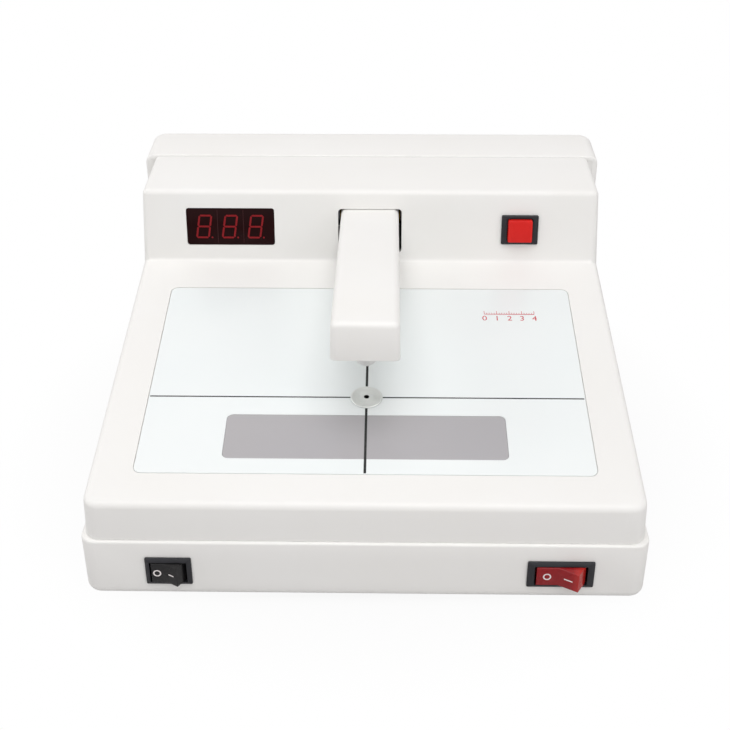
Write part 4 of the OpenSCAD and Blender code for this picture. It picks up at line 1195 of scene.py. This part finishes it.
def rocker_cap(name, node):
    """A rocker about its pivot: leaning ends and two halves that meet in a shallow V."""
    sizes = rockers()
    tall = switch_size(node)[1] - 2 * sizes.bezel_rim - 2 * sizes.clearance
    base, half = rocker_base(node), rocker_half(node)
    ridge = sizes.middle + half * math.tan(sizes.tilt)
    piece = block(name, (-base, -tall / 2, 0), (base, tall / 2, ridge))
    narrow(piece, lambda p: same(p.z, ridge), half / base)
    extrude(piece, lambda m, n: n.z < -0.9, (0, 0, -sizes.under))
    narrow(piece, lambda p: same(p.z, -sizes.under), 1 - 1.5 * MM / base)
    pick(piece, "FACE", lambda f: True)
    bpy.ops.mesh.bisect(plane_co=(0, 0, 0), plane_no=(1, 0, 0))
    only(piece)
    shift(piece, lambda p: same(p.z, ridge) and same(p.x, 0), (0, 0, sizes.middle - ridge))
    round_edges(piece, lambda a, b: min(a.z, b.z) > NEAR
                and (same(abs(a.y), tall / 2) and same(a.y, b.y) and not same(a.x, b.x)
                     and max(abs(a.x), abs(b.x)) < half + NEAR
                     or same(abs(a.x), half) and same(a.x, b.x) and same(a.z, b.z)),
                0.3 * MM, 3)
    axle = put(drum("axle", 3 * MM, -tall / 2 - sizes.clearance - 0.9 * MM,
                    tall / 2 + sizes.clearance + 0.9 * MM, 24), turn_x(math.pi / 2))
    return weld(piece, axle)


def rocker_marks(name, ring_at, bar_at, bar_long):
    """The O and I marks, lying on a rocker's pressed and raised halves."""
    sizes = rockers()
    outer, inner = sizes.ring / 2, sizes.ring / 2 - sizes.bar
    ring = turned("ring", [(inner, -0.1 * MM), (outer, -0.1 * MM), (outer, 0.02 * MM),
                           (inner, 0.02 * MM)], 40)
    bar = block("bar", (-bar_long / 2, -sizes.bar / 2, -0.1 * MM),
                (bar_long / 2, sizes.bar / 2, 0.02 * MM))
    parts = []
    for part, x in ((ring, ring_at), (bar, bar_at)):
        z = sizes.middle + abs(x) * math.tan(sizes.tilt)
        lean = sizes.tilt if x < 0 else -sizes.tilt
        parts.append(put(part, moved(x, 0, z) @ turn_y(lean)))
    return gather(name, parts)


class DENSITOMETER_OT_rockers(Operator):
    """Models the viewer's black rocker and the lit red power rocker"""

    bl_idname = "densitometer.rockers"
    bl_label = "Rockers"

    def execute(self, context):
        black = moulded_black("moulded_black_nylon", "bezel")
        white = screen_ink("white_pad_print", "F4EEEE", "ECE6E4")
        rows = (("Viewer", "viewer_switch", plain("polished_black_nylon"), "rocker_black",
                 (-3.6 * MM, 3.1 * MM, 2.9 * MM)),
                ("Power", "power_switch", red_polycarbonate(), "rocker_red",
                 (-4.9 * MM, 4.7 * MM, 4.1 * MM)))
        for label, body, finish, slot, marks in rows:
            housing = body + "_housing"
            moving = body.replace("_switch", "_rocker")
            middle = middle_of(housing)
            dress(put(switch_body(label + "Bezel", housing), on_front(middle.x, middle.z)),
                  black, "case", "dark_plastic", housing)
            pose = rocker_pose(housing)
            dress(put(rocker_cap(label + "Rocker", housing), pose), finish, body, slot, moving,
                  sharp=35)
            dress(put(rocker_marks(label + "Marks", *marks), pose), white, body, slot)
        return {"FINISHED"}


# ---------------------------------------------------------------- arm


class DENSITOMETER_OT_arm(Operator):
    """Models the measuring arm's cover and nozzle, and finishes its base"""

    bl_idname = "densitometer.arm"
    bl_label = "Measuring arm"

    def execute(self, context):
        sizes = arm()
        half, high_z, reach = sizes.width / 2, sizes.tall / 2, sizes.reach
        tail = high_z   # The tail is rounded about the pivot
        piece = block("ArmCover", (-half, -reach, -high_z), (half, tail, high_z))
        narrow(piece, lambda p: p.z > 0, 1 - sizes.taper / half)
        round_edges(piece, lambda a, b: both(a, b, y=tail) and same(a.z, b.z), tail * 0.95, 8)
        round_edges(piece, lambda a, b: abs(a.x - b.x) < half and not both(a, b, z=-high_z)
                    or both(a, b, y=-reach, z=high_z), sizes.edge, 5)
        round_edges(piece, lambda a, b: both(a, b, z=-high_z)
                    and min(a.y, b.y) < 0.0005 and not (a.y > 0 and b.y > 0), 0.4 * MM, 2)
        inner = half - sizes.wall
        hollow = block("hollow", (-inner, -reach + sizes.wall, -high_z - MM),
                       (inner, 0, high_z - sizes.wall))
        across = turn_y(math.pi / 2)
        barrel = put(drum("barrel", 2 * (tail - sizes.wall), -inner, inner), across)
        bearing = put(drum("bearing", 8 * MM, -half - MM, half + MM), across)
        notch = block("notch", (3 * MM, 0.5 * MM, 0), (6 * MM, tail + MM, high_z + MM))
        carve(piece, hollow, barrel, bearing, notch)
        flag = block("flag", (-0.75 * MM, tail - 1.1 * MM, -2 * MM),
                     (0.75 * MM, tail + 6 * MM, 5 * MM))
        weld(piece, flag)
        white = moulded_abs("moulded_arm_abs", "arm")
        dress(put(piece, on_arm()), white, "arm", "arm_white", "arm_cover", sharp=40)
        finish_node("arm_base", white)

        start = stage_sizes().disc_rise + sizes.tip_gap
        long = nozzle_length()
        outer, tip, bore = sizes.nozzle_width / 2, sizes.tip_width / 2, sizes.bore / 2
        nozzle = turned("ProbeNozzle", [
            (bore, 0), (tip - 0.15 * MM, 0), (tip, 0.15 * MM),
            (outer - 0.35 * MM, sizes.cone - 0.3 * MM), (outer, sizes.cone + 0.3 * MM),
            (outer, long), (outer + 2 * MM, long), (outer + 2 * MM, long + 2 * MM),
            (bore, long + 2 * MM)], 64)
        place = raised(on_deck(0, stage_sizes().aperture_at, start))
        dress(put(nozzle, place), plain("frosted_nozzle"), "arm", "nozzle_white", "probe_nozzle",
              sharp=35)
        return {"FINISHED"}


def nozzle_length():
    """From the nozzle's tip to its flange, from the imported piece's size."""
    place = raised(on_deck(0, stage_sizes().aperture_at, 0)).inverted()
    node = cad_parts["probe_nozzle"]
    tops = [(place @ v.co).z for v in node.data.vertices]
    return max(tops) - min(tops) - 2 * MM


# ---------------------------------------------------------------- rear and underside


def pan_screw(name, width, long):
    """A pan-head screw with a cross recess, its head's underside at Z = 0."""
    head, thick = width, 0.6 * width
    shank = width / 2
    screw = turned(name, [
        (0.02 * MM, -long), (shank * 0.8, -long), (shank, -long + 0.5 * MM), (shank, 0),
        (head, 0), (head, thick * 0.45), (head * 0.86, thick * 0.8), (head * 0.5, thick),
        (0.02 * MM, thick)], 32)
    for turn in (0, math.pi / 2):
        blade = block("blade", (-head * 0.62, -head * 0.11, thick * 0.35),
                      (head * 0.62, head * 0.11, thick + MM))
        carve(screw, put(blade, turn_z(turn)))
    return screw


def screw_set(name, node, material, body, width, long, places):
    """The like screws of one node."""
    screws = [put(pan_screw(name, width, long), place) for place in places]
    dress(gather(name, screws), material, body, "steel", node, sharp=35)


class DENSITOMETER_OT_rear_fittings(Operator):
    """Models the mains inlet, the fuse holder and their screws"""

    bl_idname = "densitometer.rear_fittings"
    bl_label = "Rear fittings"

    def execute(self, context):
        black = moulded_black("moulded_black_nylon_inlet", "bezel")
        steel = plain("plated_steel")
        flange = 2 * MM
        inlet = slab("MainsInlet", *INLET_FLANGE, 0, flange, 4 * MM, 0.6 * MM)
        weld(inlet, slab("inlet_body", *INLET_BODY, -22 * MM, 0.5 * MM, 1.5 * MM))
        socket = slab("socket", 24.4 * MM, 16.4 * MM, -16 * MM, 3 * MM, 3 * MM)
        holes = [put(drum("hole", 3.2 * MM, -MM, 3 * MM, 24), moved(side))
                 for side in INLET_SCREWS]
        carve(inlet, socket, *holes)
        dress(put(inlet, at_inlet()), black, "case", "dark_plastic", "mains_inlet")
        pins = [put(slab("pin", 2 * MM, 4 * MM, -28 * MM, -6 * MM, 0.4 * MM, 0.5 * MM, 2),
                    moved(x, y)) for x, y in INLET_PINS]
        dress(put(gather("InletPins", pins), at_inlet()), steel, "case", "steel")
        screw_set("InletScrews", "inlet_screws", steel, "case", 3 * MM, 9 * MM,
                  [at_inlet(side, flange) for side in INLET_SCREWS])

        cap = turned("FuseHolder", [
            (0.02 * MM, -30 * MM), (6 * MM, -30 * MM), (6 * MM, 0), (8 * MM, 0),
            (8 * MM, 1.4 * MM), (7.5 * MM, 2 * MM), (5.2 * MM, 2 * MM), (5.0 * MM, 1.5 * MM),
            (4.8 * MM, 1.9 * MM), (0.02 * MM, 1.9 * MM)], 48)
        carve(cap, block("coin_slot", (-4.2 * MM, -0.6 * MM, 0.7 * MM),
                         (4.2 * MM, 0.6 * MM, 3 * MM)))
        weld(cap, drum("tag", 3 * MM, -36 * MM, -29 * MM, 16))
        dress(put(cap, at_fuse()), black, "case", "dark_plastic", "fuse_holder", sharp=35)
        return {"FINISHED"}


class DENSITOMETER_OT_underside(Operator):
    """Models the rubber feet and the screws that are put in from below"""

    bl_idname = "densitometer.underside"
    bl_label = "Feet and screws"

    def execute(self, context):
        steel = plain("plated_steel")
        under = low("base_shell").z
        half = case().foot_width / 2
        feet = []
        for x, y in foot_places():
            rubber = turned("foot", [
                (2.2 * MM, under), (2.2 * MM, 0.8 * MM), (3.4 * MM, 0.0), (half - 0.8 * MM, 0.0),
                (half - 0.2 * MM, 0.35 * MM), (half, 1.1 * MM), (half, under + MM),
                (2.2 * MM, under + MM)], 48)
            feet.append(put(rubber, moved(x, y)))
        dress(gather("RubberFeet", feet), plain("moulded_rubber"), "case", "foot_rubber",
              "rubber_feet", sharp=35)
        over = turn_x(math.pi)
        screw_set("HousingScrews", "case_screws", steel, "case", CASE_SCREW, 18 * MM,
                  [moved(x, y, under + 10 * MM) @ over for x, y in post_places()])
        sizes = arm()
        side = sizes.width / 2 - sizes.wall - 3 * MM
        places = [on_arm(y, -sizes.tall / 2) @ moved(x, 0) @ over
                  for y in (-sizes.reach + 9 * MM, -55.5 * MM) for x in (-side, side)]
        screw_set("ArmScrews", "arm_screws", steel, "arm", 2.5 * MM, 9 * MM, places)
        return {"FINISHED"}


# ---------------------------------------------------------------- inside


def finish_node(node, material):
    """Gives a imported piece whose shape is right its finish."""
    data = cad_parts[node].data
    if not data.materials:
        data.materials.append(material)
    for i in range(len(data.materials)):
        data.materials[i] = material


class DENSITOMETER_OT_inner_parts(Operator):
    """Finishes the pieces inside the case and the arm"""

    bl_idname = "densitometer.inner_parts"
    bl_label = "Inner pieces"

    def execute(self, context):
        finishes_inside = (
            (moulded_abs("reflector_abs", "F4F4F2"), ("viewer_reflector", "tube_holders")),
            (plain("lamp_glass"),
             ("viewer_tube", "condenser_lens", "measuring_lamp", "power_neon")),
            (moulded_black("moulded_phenolic", "26282A"),
             ("viewer_ballast", "lamp_housing", "fork_sensor", "board_chips")),
            (plain("circuit_laminate"), ("display_board", "sensor_board", "main_board")),
            (plain("unlit_segments"), ("display_digits",)),
            (plain("plated_steel"),
             ("button_spring", "pivot_bracket", "bracket_screws", "pivot_pin", "pivot_clips",
              "arm_return_spring", "photo_sensor", "board_standoffs", "board_screws")),
            (plain("sintered_bronze"), ("arm_bushes",)),
            (plain("stacked_iron"), ("transformer",)),
        )
        for material, nodes in finishes_inside:
            for node in nodes:
                finish_node(node, material)
        return {"FINISHED"}


# ---------------------------------------------------------------- stage and run


class DENSITOMETER_OT_studio(Operator):
    """Sets the bench, the lamps, the white surroundings and the camera"""

    bl_idname = "densitometer.studio"
    bl_label = "Studio"

    def execute(self, context):
        scene = context.scene
        scene.view_settings.view_transform = "Standard"
        only(None)
        bpy.ops.mesh.primitive_plane_add(size=8, location=(0, 0, 0))
        bench = bpy.context.object
        bench.name = "Bench"
        bench.data.materials.append(bench_paper())
        for name, place, size, power in LAMPS:
            only(None)
            bpy.ops.object.light_add(type="AREA", location=place)
            lamp = bpy.context.object
            lamp.name = name
            lamp.data.shape = "SQUARE"
            lamp.data.size = size
            lamp.data.energy = power
            aim = Vector(LAMP_AIM) - Vector(place)
            lamp.rotation_euler = aim.to_track_quat("-Z", "Y").to_euler()
        scene.world = white_surroundings()
        only(None)
        bpy.ops.object.camera_add(location=CAMERA_AT)
        camera = bpy.context.object
        camera.name = "PhotoCamera"
        aside, down, roll = CAMERA_AIM
        turn = (turn_z(math.radians(aside)) @ turn_x(math.radians(90 - down))
                @ turn_z(math.radians(roll)))
        camera.rotation_euler = turn.to_euler()
        camera.data.lens = CAMERA_LENS
        camera.data.sensor_width = 36
        scene.camera = camera
        return {"FINISHED"}


def bench_paper():
    """White backdrop paper, lifted towards white where the camera sees it."""
    material, tree = blank("white_backdrop_paper")
    place = add_node(tree, "TexCoord")
    bump = relief(tree, (noise(tree, place, 1.5 * MM), "Fac"), 0.02 * MM, 0.2)
    paper = add_node(tree, "BsdfPrincipled", {"Base Color": linear("CFCFCF"), "Roughness": 0.9},
                     {"Normal": (bump, "Normal")})
    glow = add_node(tree, "Emission", {"Color": linear("FFFFFF"), "Strength": 1.0})
    seen = add_node(tree, "LightPath")
    away = add_node(tree, "VectorMath", links={0: (place, "Object")}, operation="LENGTH")
    lift = add_node(tree, "MapRange",
                    {"From Min": 0.12, "From Max": 0.2, "To Min": 0.9, "To Max": 1.0},
                    {"Value": (away, "Value")})
    share = add_node(tree, "Math", links={0: (seen, "Is Camera Ray"), 1: (lift, "Result")},
                     operation="MULTIPLY")
    lifted = add_node(tree, "MixShader", links={
        0: (share, "Value"), 1: (paper, "BSDF"), 2: (glow, "Emission")})
    add_node(tree, "OutputMaterial", links={"Surface": (lifted, "Shader")})
    return material


def white_surroundings():
    """A soft even surround that looks white to the camera and in reflections."""
    world = bpy.data.worlds.new("white_surroundings")
    world.use_nodes = True
    tree = world.node_tree
    tree.nodes.clear()
    seen = add_node(tree, "LightPath")
    camera_or_gloss = add_node(tree, "Math", operation="MAXIMUM", links={
        0: (seen, "Is Camera Ray"), 1: (seen, "Is Glossy Ray")})
    any_seen = add_node(tree, "Math", operation="MAXIMUM", links={
        0: (camera_or_gloss, "Value"), 1: (seen, "Is Transmission Ray")})
    soft = add_node(tree, "Background", {"Color": linear("FFFBFC"), "Strength": 0.49})
    white = add_node(tree, "Background", {"Color": linear("FFFFFF"), "Strength": 1.0})
    around = add_node(tree, "MixShader", links={
        0: (any_seen, "Value"), 1: (soft, "Background"), 2: (white, "Background")})
    add_node(tree, "OutputWorld", links={"Surface": (around, "Shader")})
    return world


STEPS = (
    DENSITOMETER_OT_studio, DENSITOMETER_OT_top_shell, DENSITOMETER_OT_base_shell,
    DENSITOMETER_OT_stage_plate, DENSITOMETER_OT_display, DENSITOMETER_OT_button,
    DENSITOMETER_OT_rockers, DENSITOMETER_OT_arm, DENSITOMETER_OT_rear_fittings,
    DENSITOMETER_OT_underside, DENSITOMETER_OT_inner_parts,
)
SIZES = {
    "densitometer_case": CaseSizes,
    "densitometer_stage": StageSizes,
    "densitometer_console": ConsoleSizes,
    "densitometer_rockers": RockerSizes,
    "densitometer_arm": ArmSizes,
    "densitometer_finishes": Finishes,
}


class VIEW3D_PT_densitometer(Panel):
    """Lists the densitometer's sizes and building steps"""

    bl_label = "Densitometer"
    bl_space_type = "VIEW_3D"
    bl_region_type = "UI"
    bl_category = "Densitometer"

    def draw(self, context):
        for name, group in SIZES.items():
            column = self.layout.column(align=True)
            for key in group.__annotations__:
                column.prop(getattr(context.scene, name), key,
                            text=key.replace("_", " ").capitalize())
        for step in STEPS:
            self.layout.operator(step.bl_idname)


CLASSES = (*SIZES.values(), *STEPS, VIEW3D_PT_densitometer)


def register():
    for item in CLASSES:
        bpy.utils.register_class(item)
    for name, group in SIZES.items():
        setattr(bpy.types.Scene, name, PointerProperty(type=group))


def unregister():
    for name in SIZES:
        delattr(bpy.types.Scene, name)
    for item in reversed(CLASSES):
        bpy.utils.unregister_class(item)


def main():
    register()
    for step in STEPS:
        group, _, action = step.bl_idname.partition(".")
        getattr(getattr(bpy.ops, group), action)()


if __name__ == "__main__":
    main()
